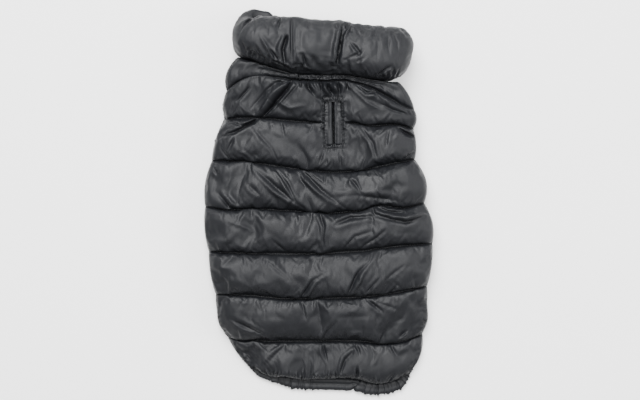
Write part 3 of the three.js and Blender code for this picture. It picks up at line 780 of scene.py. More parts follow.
BACK_CREASES: tuple[Crease, ...] = (
    # The shoulders, gathered towards the neck.
    Crease(((-27, 129), (-33, 119), (-45, 107), (-60, 88)), 2.5, 9, 0.4),
    Crease(((-28, 126), (-34, 116), (-46, 104), (-58, 89)), 1.5, 5, 0.3),
    Crease(((-22, 122), (-38, 104), (-52, 90)), 1.4, 2.8),
    Crease(((-46, 106), (-58, 90), (-72, 82), (-86, 74)), 2.0, 4.2, 0.4),
    Crease(((-36, 128), (-54, 114), (-72, 96)), 1.7, 2.6),
    Crease(((-72, 118), (-86, 104)), 2.0, 3),
    Crease(((-91, 84), (-80, 80), (-64, 85)), 2.4, 4),
    Crease(((-64, 86), (-82, 76), (-102, 68)), 2.2, 3.5),
    Crease(((-96, 112), (-99, 92)), 1.6, 2),
    Crease(((50, 123), (63, 109)), 2.0, 4),
    Crease(((55, 120), (72, 110), (90, 97)), 2.2, 5),
    Crease(((62, 104), (78, 96), (92, 92)), 1.8, 2),
    Crease(((-20, 128), (-19, 119)), 1.5, 3.5),
    Crease(((-12, 129), (-11, 120), (-5, 112)), 2.1, 8),
    Crease(((1, 129), (3, 115)), 1.7, 6),
    Crease(((9, 129), (10, 119), (17, 110)), 2.1, 8.5),
    Crease(((18, 129), (21, 118), (22, 110)), 1.9, 7.5),
    Crease(((-27, 129), (-37, 124), (-48, 123)), 1.6, 3),
    Crease(((28, 126), (30, 117)), 1.5, 4),
    Crease(((36, 124), (50, 114), (72, 117)), 2.0, 3),
    Crease(((34, 118), (50, 104), (66, 96)), 2.2, -2),
    Crease(((-50, 108), (-30, 98), (-14, 101)), 3.0, -2),
    # Around the leash slot.
    Crease(((5, 54), (-1, 38)), 1.4, 2),
    Crease(((21, 54), (23, 34)), 1.4, 2),
    Crease(((8, 46), (8, 37)), 1.2, 1.5),
    Crease(((14, 46), (14.5, 36)), 1.2, 1.5),
    Crease(((-40, 86), (-36, 68)), 1.8, 1.5),
    Crease(((44, 78), (56, 62), (60, 48)), 2.4, 2.5),
    Crease(((72, 74), (70, 58)), 1.8, 1.5),
    Crease(((82, 78), (93, 71), (102, 66)), 2.4, 6, 0.5),
    Crease(((-66, 74), (-50, 56), (-44, 44)), 2.0, 2),
    Crease(((-88, 66), (-96, 50)), 1.8, 2),
    # The third channel.
    Crease(((-112, 39), (-106, 28)), 1.8, 3.5),
    Crease(((-70, 36), (-46, 15), (-22, -3)), 2.2, 3.6, 0.7),
    Crease(((-49, 39), (-34, 18), (-23, -2)), 1.6, 2.6, 0.7),
    Crease(((-78, 21), (-60, 5)), 1.8, 2.4),
    Crease(((-106, 10), (-96, -2), (-85, -11)), 2.4, 4.5, 0.6),
    Crease(((-20, 34), (3, 13), (27, -5)), 2.2, 3.6, 0.7),
    Crease(((-12, 32), (8, 17)), 1.4, 1.6),
    Crease(((6, 31), (6, 20)), 1.5, 1.6),
    Crease(((33, 25), (45, 8)), 1.8, 2.2),
    Crease(((59, 13), (64, 4)), 1.5, 1.5),
    Crease(((8, 6), (40, 8), (84, 1)), 3.4, 2.2),
    # The fourth channel and its tuck at the right.
    Crease(((17, -24), (33, -17), (59, -16), (70, -18)), 2.4, 3.6, 0.6),
    Crease(((56, -5), (58, -13), (75, -18), (91, -21), (110, -15)), 2.2, 5.5, 0.8),
    Crease(((59, -6), (72, -9.5), (88, -11)), 1.6, 3.5, 0.7),
    Crease(((27, -48), (38, -36), (56, -31)), 2.0, 3.2),
    Crease(((45, -48), (60, -38), (70, -29)), 2.0, 3.2),
    Crease(((-49, -40), (-36, -52)), 1.7, 1.8),
    Crease(((0, -10), (5, -27), (3, -44)), 1.9, 2),
    Crease(((-95, -20), (-70, -30)), 3.2, -1.5),
    # The fifth channel.
    Crease(((-20, -101), (-7, -82), (9, -73)), 2.0, 3.4),
    Crease(((29, -99), (41, -74), (54, -61)), 2.1, 4, 0.6),
    Crease(((49, -94), (63, -79)), 1.9, 3.2),
    Crease(((73, -98), (83, -86)), 1.7, 2.6),
    Crease(((-57, -59), (-30, -82)), 1.6, 1.4),
    Crease(((90, -66), (69, -82)), 1.6, 1.5),
    # The sixth channel.
    Crease(((3, -145), (9, -134), (19, -124)), 2.0, 3),
    Crease(((-96, -120), (-76, -130), (-57, -138)), 2.2, 2.8),
    Crease(((-19, -101), (-14, -122)), 1.8, 2.2),
    Crease(((49, -101), (67, -115)), 1.9, 2.6),
    Crease(((59, -104), (87, -114)), 1.8, 2),
    Crease(((77, -126), (93, -122)), 1.7, 2),
    Crease(((83, -143), (93, -135)), 1.9, 3.2),
    # The seventh channel.
    Crease(((3, -148), (9, -167)), 1.9, 2.8),
    Crease(((23, -180), (27, -166), (38, -155)), 2.0, 3, 0.8),
    Crease(((40, -174), (41, -186)), 1.6, 4, 0.7),
    Crease(((39, -148), (43, -161)), 1.6, 2.2),
    Crease(((75, -148), (82, -164)), 1.6, 2),
    Crease(((-60, -174), (-36, -150)), 2.2, 2, 0.8),
)


def across_path(path: list[tuple[float, float]], pitch: tuple[float, float], reach: tuple[float, float],
                depth: float, seed: int) -> list[Crease]:
    """Draws short puckers across a path, as a row of gathered sewing leaves them.

    Args:
        path: The row of sewing.
        pitch: The least and the greatest distance between puckers.
        reach: How far a pucker runs out at the row's left and at its right.
        depth: The mean depth of a pucker.
        seed: The seed of their unevenness.

    Returns:
        The puckers as creases.
    """
    draw = np.random.default_rng(seed)
    row = np.array(path, float)
    knots = np.concatenate([[0], np.cumsum(np.hypot(*np.diff(row, axis=0).T))])
    found = []
    at = draw.uniform(0, pitch[0])
    while at < knots[-1]:
        place = np.array([np.interp(at, knots, row[:, k]) for k in (0, 1)])
        ahead = np.array([np.interp(at + 1, knots, row[:, k]) - np.interp(at - 1, knots, row[:, k])
                          for k in (0, 1)])
        ahead /= np.linalg.norm(ahead) + 1e-9
        left = np.array([-ahead[1], ahead[0]]) + ahead * draw.normal(0, 0.35)
        start = place + left * reach[0] * draw.uniform(0.5, 1.3)
        end = place - left * reach[1] * draw.uniform(0.5, 1.3)
        if np.hypot(*(end - start)) > 1:
            found.append(Crease((tuple(start), tuple(end)), width=draw.uniform(0.7, 1.2),
                                depth=depth * draw.uniform(0.4, 1.5), lips=0.55))
        at += draw.uniform(*pitch)
    return found


@dataclass
class BackPanel:
    """The quilted back, with the leash slot cut through it."""

    columns: int = 150
    end: float = 8
    crumple: float = 0.36
    seam_cut: float = 3.0
    side_bulge: float = 1.6
    hem_bulge: float = 5.0
    start_share: float = 0.86
    press_fade: float = 4
    side_fade: float = 14
    pucker_span: tuple[float, float] = (-104, 104)
    pucker_depth: float = 0.8
    slot_hole: tuple[float, float] = (18, 44)
    seam_seed: int = 11
    inflation: Inflation = field(default_factory=Inflation)

    def sheet(self, name: str, columns: int, rows: int) -> tuple[bpy.types.Object, np.ndarray, np.ndarray]:
        """Makes a flat grid over the panel, with its place across and along kept on the mesh."""
        made, first, second = grid_object(name, columns, rows)
        across = 2 * first - 1
        line = PLAN.row_lines(second, self.end)
        write_value(made.data, "across", across)
        write_value(made.data, "line", line)
        return made, across, line

    def outside(self, across: np.ndarray, line: np.ndarray, share: float) -> np.ndarray:
        """Returns the smooth padded surface's points in metres, at a share of its full loft."""
        x, y = PLAN.point(across, line)
        inside = PLAN.back_inside(across, line)
        thickness = PLAN.back_thickness(across, line)
        low = np.minimum(thickness, PLAN.seam_thickness)
        x = x + self.overhang(across, line)
        return np.stack([x, y, inside + low + (thickness - low) * share], axis=1) * MM

    def overhang(self, across: np.ndarray, line: np.ndarray) -> np.ndarray:
        """Returns how far the back's sides bulge over the hem casing, which they hide from above."""
        tail = smoothstep(line, 6.3, 6.8) * (1 - smoothstep(line, 7.75, 8))
        _, part = PLAN.channel(line)
        bulge = self.side_bulge * np.sin(math.pi * part) ** 0.5 + self.hem_bulge * tail
        return np.sign(across) * bulge * smoothstep(np.abs(across), 0.72, 1)

    def build(self, finishes: Finishes) -> bpy.types.Object:
        """Makes and dresses the back.

        Args:
            finishes: The coat's finishes.

        Returns:
            The finished piece.
        """
        rows = int(PLAN.row_count(self.end))
        top, across, line = self.sheet("back_shell", self.columns, rows)
        points = self.outside(across, line, self.start_share)
        x, y = points[:, 0] / MM, points[:, 1] / MM
        free = self.freedom(across, line, x, y)
        seams = PLAN.lines[1:-1]
        drawn = [*BACK_CREASES, *puckers(seams, *self.pucker_span, self.seam_seed, self.pucker_depth)]
        lift = sum(crease.lift(x, y) for crease in drawn)
        near_seam = self.seam_closeness(line, x)
        points[:, 2] += lift * free * (1 - 0.75 * near_seam) * MM
        crumple = ripples(x, y, 3, 34) + 0.5 * ripples(x, y, 4, 17)
        points[:, 2] += self.crumple * crumple * free * (1 - near_seam) * MM
        write_points(top.data, points)
        pinned = (np.abs(line - np.round(line)) < 1e-4) | (np.abs(across) > 1 - 1e-6)
        pinned |= PLAN.slot_press(x, y, 2) > 0.99
        fullness = free * (0.62 + 0.3 * ripples(x, y, 8, 75)) * (1 - 0.35 * smoothstep(x, 30, 100))
        self.inflation.run(top, pinned, fullness)
        subdivide(top)
        self.sharpen(top)
        bottom, under_across, under_line = self.sheet("back_lining", self.columns, rows)
        self.lay_lining(bottom, under_across, under_line)
        piece = self.close(top, bottom)
        hand_over(piece, finishes.shell, Slot.SHELL, "back_panel")
        return piece

    def freedom(self, across: np.ndarray, line: np.ndarray, x: np.ndarray, y: np.ndarray) -> np.ndarray:
        """Works out how freely the cloth moves: 0 at its sides and on the leash slot's frame.

        Args:
            across: From -1 at the left edge to 1 at the right edge.
            line: The number of quilting lines from the neck.
            x: Places across the coat.
            y: Places along the coat.

        Returns:
            The freedom at each place, from 0 to 1.
        """
        free = 1 - PLAN.slot_press(x, y, self.press_fade)
        return free * edge_roll((1 - np.abs(across)) * PLAN.half_width(line), self.side_fade)

    def seam_closeness(self, line: np.ndarray, x: np.ndarray, width: float = 2.6) -> np.ndarray:
        """Returns 1 on a line of quilting, fading to 0 within about twice a width beside it."""
        upper, lower = PLAN.walls(x, line)
        _, part = PLAN.channel(line)
        away = np.minimum(part, 1 - part) * np.maximum(upper - lower, 1)
        return np.exp(-((away / width) ** 2))

    def sharpen(self, top: bpy.types.Object) -> None:
        """Draws the main creases once more in the finer mesh, and keeps the seams' closeness on it."""
        mesh = top.data
        across, line = read_value(mesh, "across"), read_value(mesh, "line")
        points = read_points(mesh)
        x, y = PLAN.point(across, line)
        free = self.freedom(across, line, x, y)
        near = self.seam_closeness(line, x)
        lift = sum(crease.core().lift(x, y) for crease in BACK_CREASES)
        lift += self.crumple * crumples(x, y, 21, 23)
        lift *= free * (1 - near)
        lift -= self.seam_cut * self.seam_closeness(line, x, 0.85) * free
        lift += sum(crease.lift(x, y) for crease in self.slot_sewing())
        inside = (1 - np.abs(across)) * PLAN.half_width(line)
        lift += sum(crease.lift(x, y) for crease in self.hem_sewing()) * smoothstep(inside, 0, 1.5)
        points[:, 2] += lift * MM
        rim = (np.abs(across) > 1 - 1e-4) | (line < 1e-4) | (line > self.end - 1e-4)
        points[rim] = self.outside(across[rim], line[rim], 1.0)
        write_points(mesh, points)
        write_value(mesh, "seam", near)

    def slot_sewing(self) -> list[Crease]:
        """Returns the grooves and the puckers of the sewing round the leash slot."""
        found = []
        for number, row in enumerate(slot_rows()):
            pad = [tuple(row[0] - (row[1] - row[0]) * 0.03), tuple(row[1] + (row[1] - row[0]) * 0.03)]
            found.append(Crease(tuple(pad), width=0.9, depth=2.4, lips=0.3))
            found += across_path(pad, (1.9, 3.6), (3.2, 3.2), 1.1, 40 + number)
        return found

    def hem_sewing(self) -> list[Crease]:
        """Returns the puckers along the tail, where the casing gathers the padding."""
        sides = np.linspace(6.25, 8, 12)
        found = []
        for side in Side:
            x, y = PLAN.point(np.full(12, side.value * 0.985), sides)
            path = list(zip(x, y, strict=True))
            found += across_path(path, (2.6, 6.0), (5.0, 5.0), 1.9, 60 + side.value)
        x, y = PLAN.point(np.linspace(-0.98, 0.98, 40), np.full(40, 7.94))
        found += across_path(list(zip(x, y, strict=True)), (3.0, 7.5), (7.0, 2.0), 1.9, 63)
        return found

    def lay_lining(self, bottom: bpy.types.Object, across: np.ndarray, line: np.ndarray) -> None:
        """Shapes the underside, whose edge meets the shell's."""
        x, y = PLAN.point(across, line)
        inside = edge_roll((1 - np.abs(across)) * PLAN.half_width(line), 10)
        shown = smoothstep(line, PLAN.belly_end + 0.2, PLAN.belly_end + 0.5)
        near = self.seam_closeness(line, x)
        dent = (2.2 * near + 0.5 + 0.35 * ripples(x, y, 17, 22)) * inside * shown
        z = PLAN.back_inside(across, line) + np.maximum(dent, 0)
        x = x + self.overhang(across, line)
        write_points(bottom.data, np.stack([x, y, z], axis=1) * MM)
        write_value(bottom.data, "seam", near * shown)

    def cut_slot(self, bm: bmesh.types.BMesh) -> None:
        """Cuts the leash slot's hole out of a sheet."""
        cx, cy = (v * MM for v in PLAN.slot_centre)
        half = [v * MM / 2 for v in self.slot_hole]
        turn = Matrix.Rotation(PLAN.slot_tilt, 3, "Z")
        for axis, sign in ((0, -1), (0, 1), (1, -1), (1, 1)):
            near = [f for f in bm.faces if self.in_window(f.calc_center_median(), 6 * MM)]
            geometry = list({*near, *(e for f in near for e in f.edges), *(v for f in near for v in f.verts)})
            normal = Vector((0, 0, 0))
            normal[axis] = sign
            reach = Vector((0, 0, 0))
            reach[axis] = sign * half[axis]
            bmesh.ops.bisect_plane(bm, geom=geometry, dist=1e-7, plane_no=turn @ normal,
                                   plane_co=Vector((cx, cy, 0)) + turn @ reach)
        inside = [f for f in bm.faces if self.in_window(f.calc_center_median(), -0.02 * MM)]
        bmesh.ops.delete(bm, geom=inside, context="FACES")

    def in_window(self, place: Vector, margin: float) -> bool:
        """Says whether a place is inside the slot's hole, widened by a margin."""
        offset = Matrix.Rotation(-PLAN.slot_tilt, 3, "Z") @ Vector((
            place.x - PLAN.slot_centre[0] * MM, place.y - PLAN.slot_centre[1] * MM, 0))
        return all(abs(offset[i]) < self.slot_hole[i] * MM / 2 + margin for i in (0, 1))

    def close(self, top: bpy.types.Object, bottom: bpy.types.Object) -> bpy.types.Object:
        """Joins the shell and the lining into one closed panel with the slot through it."""
        bm = bmesh.new()
        bm.from_mesh(top.data)
        self.cut_slot(bm)
        shell_rim = self.outer_loop(bm)
        lining = bmesh.new()
        lining.from_mesh(bottom.data)
        rim = self.outer_loop(lining)
        bmesh.ops.subdivide_edges(lining, edges=list(rim), cuts=1)
        self.cut_slot(lining)
        scratch = bpy.data.meshes.new("scratch")
        lining.to_mesh(scratch)
        lining.free()
        known = set(bm.edges)
        bm.from_mesh(scratch)
        lining_rim = {e for e in self.outer_loop(bm) if e not in shell_rim and e not in known}
        bmesh.ops.bridge_loops(bm, edges=[*shell_rim, *lining_rim])
        hole = [e for e in bm.edges if e.is_boundary]
        bmesh.ops.bridge_loops(bm, edges=hole)
        bmesh.ops.recalc_face_normals(bm, faces=bm.faces[:])
        piece = new_object("back", bm)
        for spent in (top, bottom):
            bpy.data.objects.remove(spent)
        bpy.data.meshes.remove(scratch)
        return piece

    def outer_loop(self, bm: bmesh.types.BMesh) -> set[bmesh.types.BMEdge]:
        """Returns the boundary edges of a sheet outside the slot."""
        return {e for e in bm.edges if e.is_boundary
                and not self.in_window((e.verts[0].co + e.verts[1].co) / 2, 3 * MM)}


@dataclass
class BellyPanel:
    """The belly, narrower and shorter than the back, with a cut for each front leg."""

    columns: int = 76
    rows: int = 90
    end: float = CoatPlan.belly_end
    edge_round: float = 16
    pucker_span: tuple[float, float] = (-100, 100)
    pucker_seed: int = 23
    pucker_depth: float = 0.8
    groove_rise: float = 5
    openings: tuple[tuple[Side, float, float, float], ...] = (
        (Side.LEFT, 1.2, 2.76, 36), (Side.RIGHT, 0.62, 2.92, 36),
    )

    def inset(self, opening: tuple[Side, float, float, float], line: np.ndarray) -> np.ndarray:
        """Returns how far a leg opening cuts into the panel."""
        _, start, finish, depth = opening
        share = (line - start) / (finish - start)
        inside = (share > 0) & (share < 1)
        return np.where(inside, depth * np.sin(math.pi * np.clip(share, 0, 1)) ** 0.7, 0.0)

    def place(self, first: np.ndarray, line: np.ndarray) -> tuple[np.ndarray, np.ndarray]:
        """Returns how far across the coat each place of the panel is, and its distance from its edge."""
        half = PLAN.half_width(line)
        left = -1 + self.inset(self.openings[0], line) / half
        right = 1 - self.inset(self.openings[1], line) / half
        across = left + (right - left) * first
        return across, np.minimum(across - left, right - across) * half

    def build(self, finishes: Finishes) -> bpy.types.Object:
        """Makes and dresses the belly."""
        under, first, second = grid_object("belly_shell", self.columns, self.rows)
        line = second * self.end
        across, inside = self.place(first, line)
        x, y = PLAN.point(across, line)
        top = PLAN.inner_height(line) - PLAN.inner_gap(across, line) / 2
        ending = smoothstep(line, self.end - 0.35, self.end)
        starting = 1 - smoothstep(line, 0, 0.5)
        crown = PLAN.pillow(x, line)
        padded = top - self.groove_rise * (1 - crown) + 2 * crown
        blend = np.maximum(ending, starting)
        padded = padded + (PLAN.neck_thickness - padded) * blend
        thickness = PLAN.edge_thickness + (padded - PLAN.edge_thickness) * edge_roll(inside, self.edge_round)
        bottom = np.maximum(0, top - thickness)
        fine = puckers(PLAN.lines[1:7], *self.pucker_span, self.pucker_seed, self.pucker_depth)
        lift = sum(crease.lift(x, y) for crease in fine) * edge_roll(inside, 14)
        bottom = np.maximum(0, bottom - lift)
        write_points(under.data, np.stack([x, y, bottom], axis=1) * MM)
        write_value(under.data, "seam", np.exp(-((np.minimum(line % 1, 1 - line % 1) * 45 / 2.6) ** 2)))
        lining, first, second = grid_object("belly_lining", self.columns, self.rows)
        line = second * self.end
        across, _ = self.place(first, line)
        x, y = PLAN.point(across, line)
        z = PLAN.inner_height(line) - PLAN.inner_gap(across, line) / 2
        write_points(lining.data, np.stack([x, y, z], axis=1) * MM)
        bm = bmesh.new()
        bm.from_mesh(under.data)
        bmesh.ops.reverse_faces(bm, faces=bm.faces[:])
        bm.from_mesh(lining.data)
        bmesh.ops.bridge_loops(bm, edges=[e for e in bm.edges if e.is_boundary])
        bmesh.ops.recalc_face_normals(bm, faces=bm.faces[:])
        piece = new_object("belly", bm)
        for spent in (under, lining):
            bpy.data.objects.remove(spent)
        subdivide(piece)
        points = read_points(piece.data)
        points[:, 2] = np.maximum(points[:, 2], 0)
        write_points(piece.data, points)
        hand_over(piece, finishes.shell, Slot.SHELL, "belly_panel")
        return piece


COLLAR_CREASES: tuple[Crease, ...] = (
    Crease(((-39, 196), (-43, 180)), 1.9, 3.2),
    Crease(((-28, 196), (-28.5, 170), (-27, 144), (-23, 135)), 1.1, 3.2, 0.3),
    Crease(((-84, 172), (-81.5, 178), (-78, 185), (-69, 192)), 1.8, 3.2),
    Crease(((4, 191), (5, 174)), 1.6, 2.6),
    Crease(((26, 197), (24, 176), (21, 155), (17, 126)), 2.2, 8.5, 0.4),
    Crease(((24, 172), (20, 150), (14, 134)), 1.4, 5.5, 0.4),
    Crease(((31, 193), (29, 182), (24, 170)), 1.5, 6),
    Crease(((36, 192), (33, 178), (26, 166)), 1.3, 2.6),
    Crease(((16, 190), (20, 178)), 1.4, 3),
    Crease(((33, 165), (42, 154), (27, 147)), 1.4, 3),
    Crease(((46, 158), (36, 148)), 1.2, 1.6),
    Crease(((48, 149), (40, 145)), 1.6, 2),
    Crease(((73, 141), (59, 130)), 2.0, 3),
    Crease(((-33, 172), (-37.5, 158), (-34, 134)), 2.0, 7.5, 0.4),
    Crease(((-51, 158), (-43, 148), (-41, 140)), 1.7, 3.6),
    Crease(((-69, 191), (-80, 183)), 1.8, 2.6),
    Crease(((-60, 170), (-48, 150)), 2.6, -1.5),
    Crease(((-6, 152), (-4, 134)), 1.8, 4.6),
    Crease(((7, 150), (4, 134)), 1.8, 4.2),
    Crease(((-17, 154), (-12, 134)), 1.9, 4.8),
    Crease(((12, 145), (14, 134)), 1.6, 3.6),
    Crease(((-27, 134), (-34, 140), (-49, 147)), 1.6, 3.6),
    Crease(((-25, 134), (-23, 146), (-24, 156)), 1.6, 3.2),
    Crease(((80, 190), (92, 172)), 2.0, 2.4),
    Crease(((60, 181), (56, 170)), 1.6, 1.6),
    Crease(((-12, 191), (-10, 178)), 1.6, 1.8),
    Crease(((44, 184), (46, 172)), 1.6, 1.8),
)


@dataclass
class Collar:
    """The collar: one fat padded channel closed into a ring, gathered at its base."""

    around: int = 220
    outside_rows: int = 44
    inside_rows: int = 8
    loft: float = 24.5
    half_width: float = 97
    middle_x: float = 3.5
    centre_height: float = 28
    inner_half_height: float = 4.6
    squareness: float = 2.8
    fullness: float = 0.72
    crumple: float = 0.36
    scallop: float = 0.45
    overhang: float = 3.0
    start_share: float = 0.9
    core_width: float = 1.3
    top_edge: tuple[tuple[float, float], ...] = (
        (-92, 185), (-80, 189), (-70, 192), (-58, 194), (-45, 194), (-28, 193.3), (-11, 191.5), (0, 190.5),
        (22, 189.5), (32, 188), (40, 185.8), (56, 184.5), (76, 182.5), (90, 182), (96, 181.5), (102, 178),
    )
    rear_edge: tuple[tuple[float, float], ...] = (
        (-92, 201), (-80, 204.5), (-70, 204), (-60, 202), (-52, 200.5), (-46, 195), (-38, 192), (0, 188),
        (30, 187), (56, 184), (81, 185.5), (90, 185), (98, 182),
    )
    base_edge: tuple[tuple[float, float], ...] = (
        (-86, 152), (-60, 144), (-41, 138), (-28, 134.5), (0, 133), (28, 132.5), (55, 128.5), (72, 128),
        (82, 130.5), (89, 135), (95, 142), (100, 151),
    )
    inflation: Inflation = field(default_factory=lambda: Inflation(pressure=6.0, growth=0.1, cap=6.0))

    def build(self, finishes: Finishes) -> bpy.types.Object:
        """Makes and dresses the collar."""
        rows = self.outside_rows + self.inside_rows + 2
        piece, first, second = grid_object("collar_ring", self.around, rows)
        turn = -2 * math.pi * first
        row = np.round(second * rows)
        profile = np.where(row == rows, 0.0, row / self.outside_rows)
        outer = profile <= 1
        angle = math.pi * np.clip(profile, 0, 1)
        back = np.clip((row - self.outside_rows - 1) / self.inside_rows, 0, 1)
        share = np.where(outer, (1 - np.cos(angle)) / 2, 1 - back)
        cos, sin = np.cos(turn), np.sin(turn)
        power = 2 / self.squareness
        across = np.sign(cos) * np.abs(cos) ** power
        up = np.sign(sin) * np.abs(sin) ** power
        length = self.half_width - self.loft
        out_x = np.sign(cos) * np.abs(across) ** (self.squareness - 1) / length
        out_z = np.sign(sin) * np.abs(up) ** (self.squareness - 1) / self.inner_half_height
        size = np.hypot(out_x, out_z)
        out_x, out_z = out_x / size, out_z / size
        full = np.where(outer, np.abs(np.sin(angle)) ** self.fullness, 0.0)
        swelling = self.loft * self.start_share - PLAN.neck_thickness
        thickness = np.where(outer, PLAN.neck_thickness + swelling * full, 0.0)
        x = self.middle_x + length * across + out_x * thickness
        z = self.centre_height + self.inner_half_height * up + out_z * thickness
        front, rear = (np.array(rows, float) for rows in (self.top_edge, self.rear_edge))
        base = hermite(x, *np.array(self.base_edge, float).T) + 2 * SEAM_GAP
        facing = smoothstep(up, -0.4, 0.4)
        scallops = self.scallop * ripples(x, np.zeros_like(x), 12, 9)
        top = (hermite(x, *front.T) + scallops) * facing + hermite(x, *rear.T) * (1 - facing)
        y = base + (top - base) * share - self.overhang * full * (1 - share)
        drawn = [*COLLAR_CREASES, *self.gathers()]
        lift = sum(crease.lift(x, y) for crease in drawn)
        lift = lift * full * smoothstep(up, 0.0, 0.35)
        points = np.stack([x + out_x * lift, y, np.maximum(z + out_z * lift, 0)], axis=1) * MM
        write_points(piece.data, points)
        edge = np.minimum(share, 1 - share) * (top - base)
        write_value(piece.data, "seam", np.where(outer, np.exp(-((edge / 2.0) ** 2)), 0.0))
        write_value(piece.data, "held", np.where(outer & (profile > 1e-4) & (profile < 1 - 1e-4), 0.0, 1.0))
        write_value(piece.data, "room", 1 - smoothstep(share, 0.62, 0.9))
        face_outwards(piece, 1e-6)
        places = read_points(piece.data) / MM
        fullness = (0.85 + 0.25 * ripples(places[:, 0], places[:, 1], 9, 50)) * read_value(piece.data, "room")
        self.inflation.run(piece, read_value(piece.data, "held") > 0.5, fullness)
        subdivide(piece)
        self.sharpen(piece)
        piece.name = piece.data.name = "collar_padded"
        hand_over(piece, finishes.shell, Slot.SHELL, "collar")
        return piece

    def sharpen(self, piece: bpy.types.Object) -> None:
        """Draws the main creases and the crumples once more in the finer mesh, along its normals."""
        points = read_points(piece.data)
        normals = np.zeros(points.size, np.float32)
        piece.data.vertices.foreach_get("normal", normals)
        normals = normals.reshape(-1, 3)
        x, y = points[:, 0] / MM, points[:, 1] / MM
        loose = 1 - smoothstep(read_value(piece.data, "held"), 0.0, 0.4)
        facing = smoothstep(normals[:, 2], 0.0, 0.5)
        lift = sum(crease.core(self.core_width).lift(x, y) for crease in COLLAR_CREASES) * facing
        lift += self.crumple * crumples(x + points[:, 2] / MM, y, 31, 21)
        points += normals * (lift * loose * MM)[:, None]
        points[:, 2] = np.maximum(points[:, 2], 0)
        write_points(piece.data, points)

    def gathers(self) -> list[Crease]:
        """Draws the small upright gathers along the collar's top and base edges."""
        draw = np.random.default_rng(5)
        table = np.array(self.top_edge, float)
        found = []
        for x in np.arange(-84, 92, 5.5):
            place = x + draw.uniform(-2, 2)
            top = float(hermite(np.array([place]), table[:, 0], table[:, 1])[0])
            base = float(PLAN.lines[0].y_at(np.array([place]))[0])
            for edge, way, reach in ((top, -1, (5, 14)), (base, 1, (6, 18))):
                length = draw.uniform(*reach)
                lean = draw.normal(0, 1.5)
                deep = draw.uniform(0.6, 2.0) if way < 0 else draw.uniform(1.2, 3.4)
                found.append(Crease(((place, edge), (place + lean, edge + way * length)),
                                    width=draw.uniform(1.2, 2.0), depth=deep, lips=0.5))
        return found


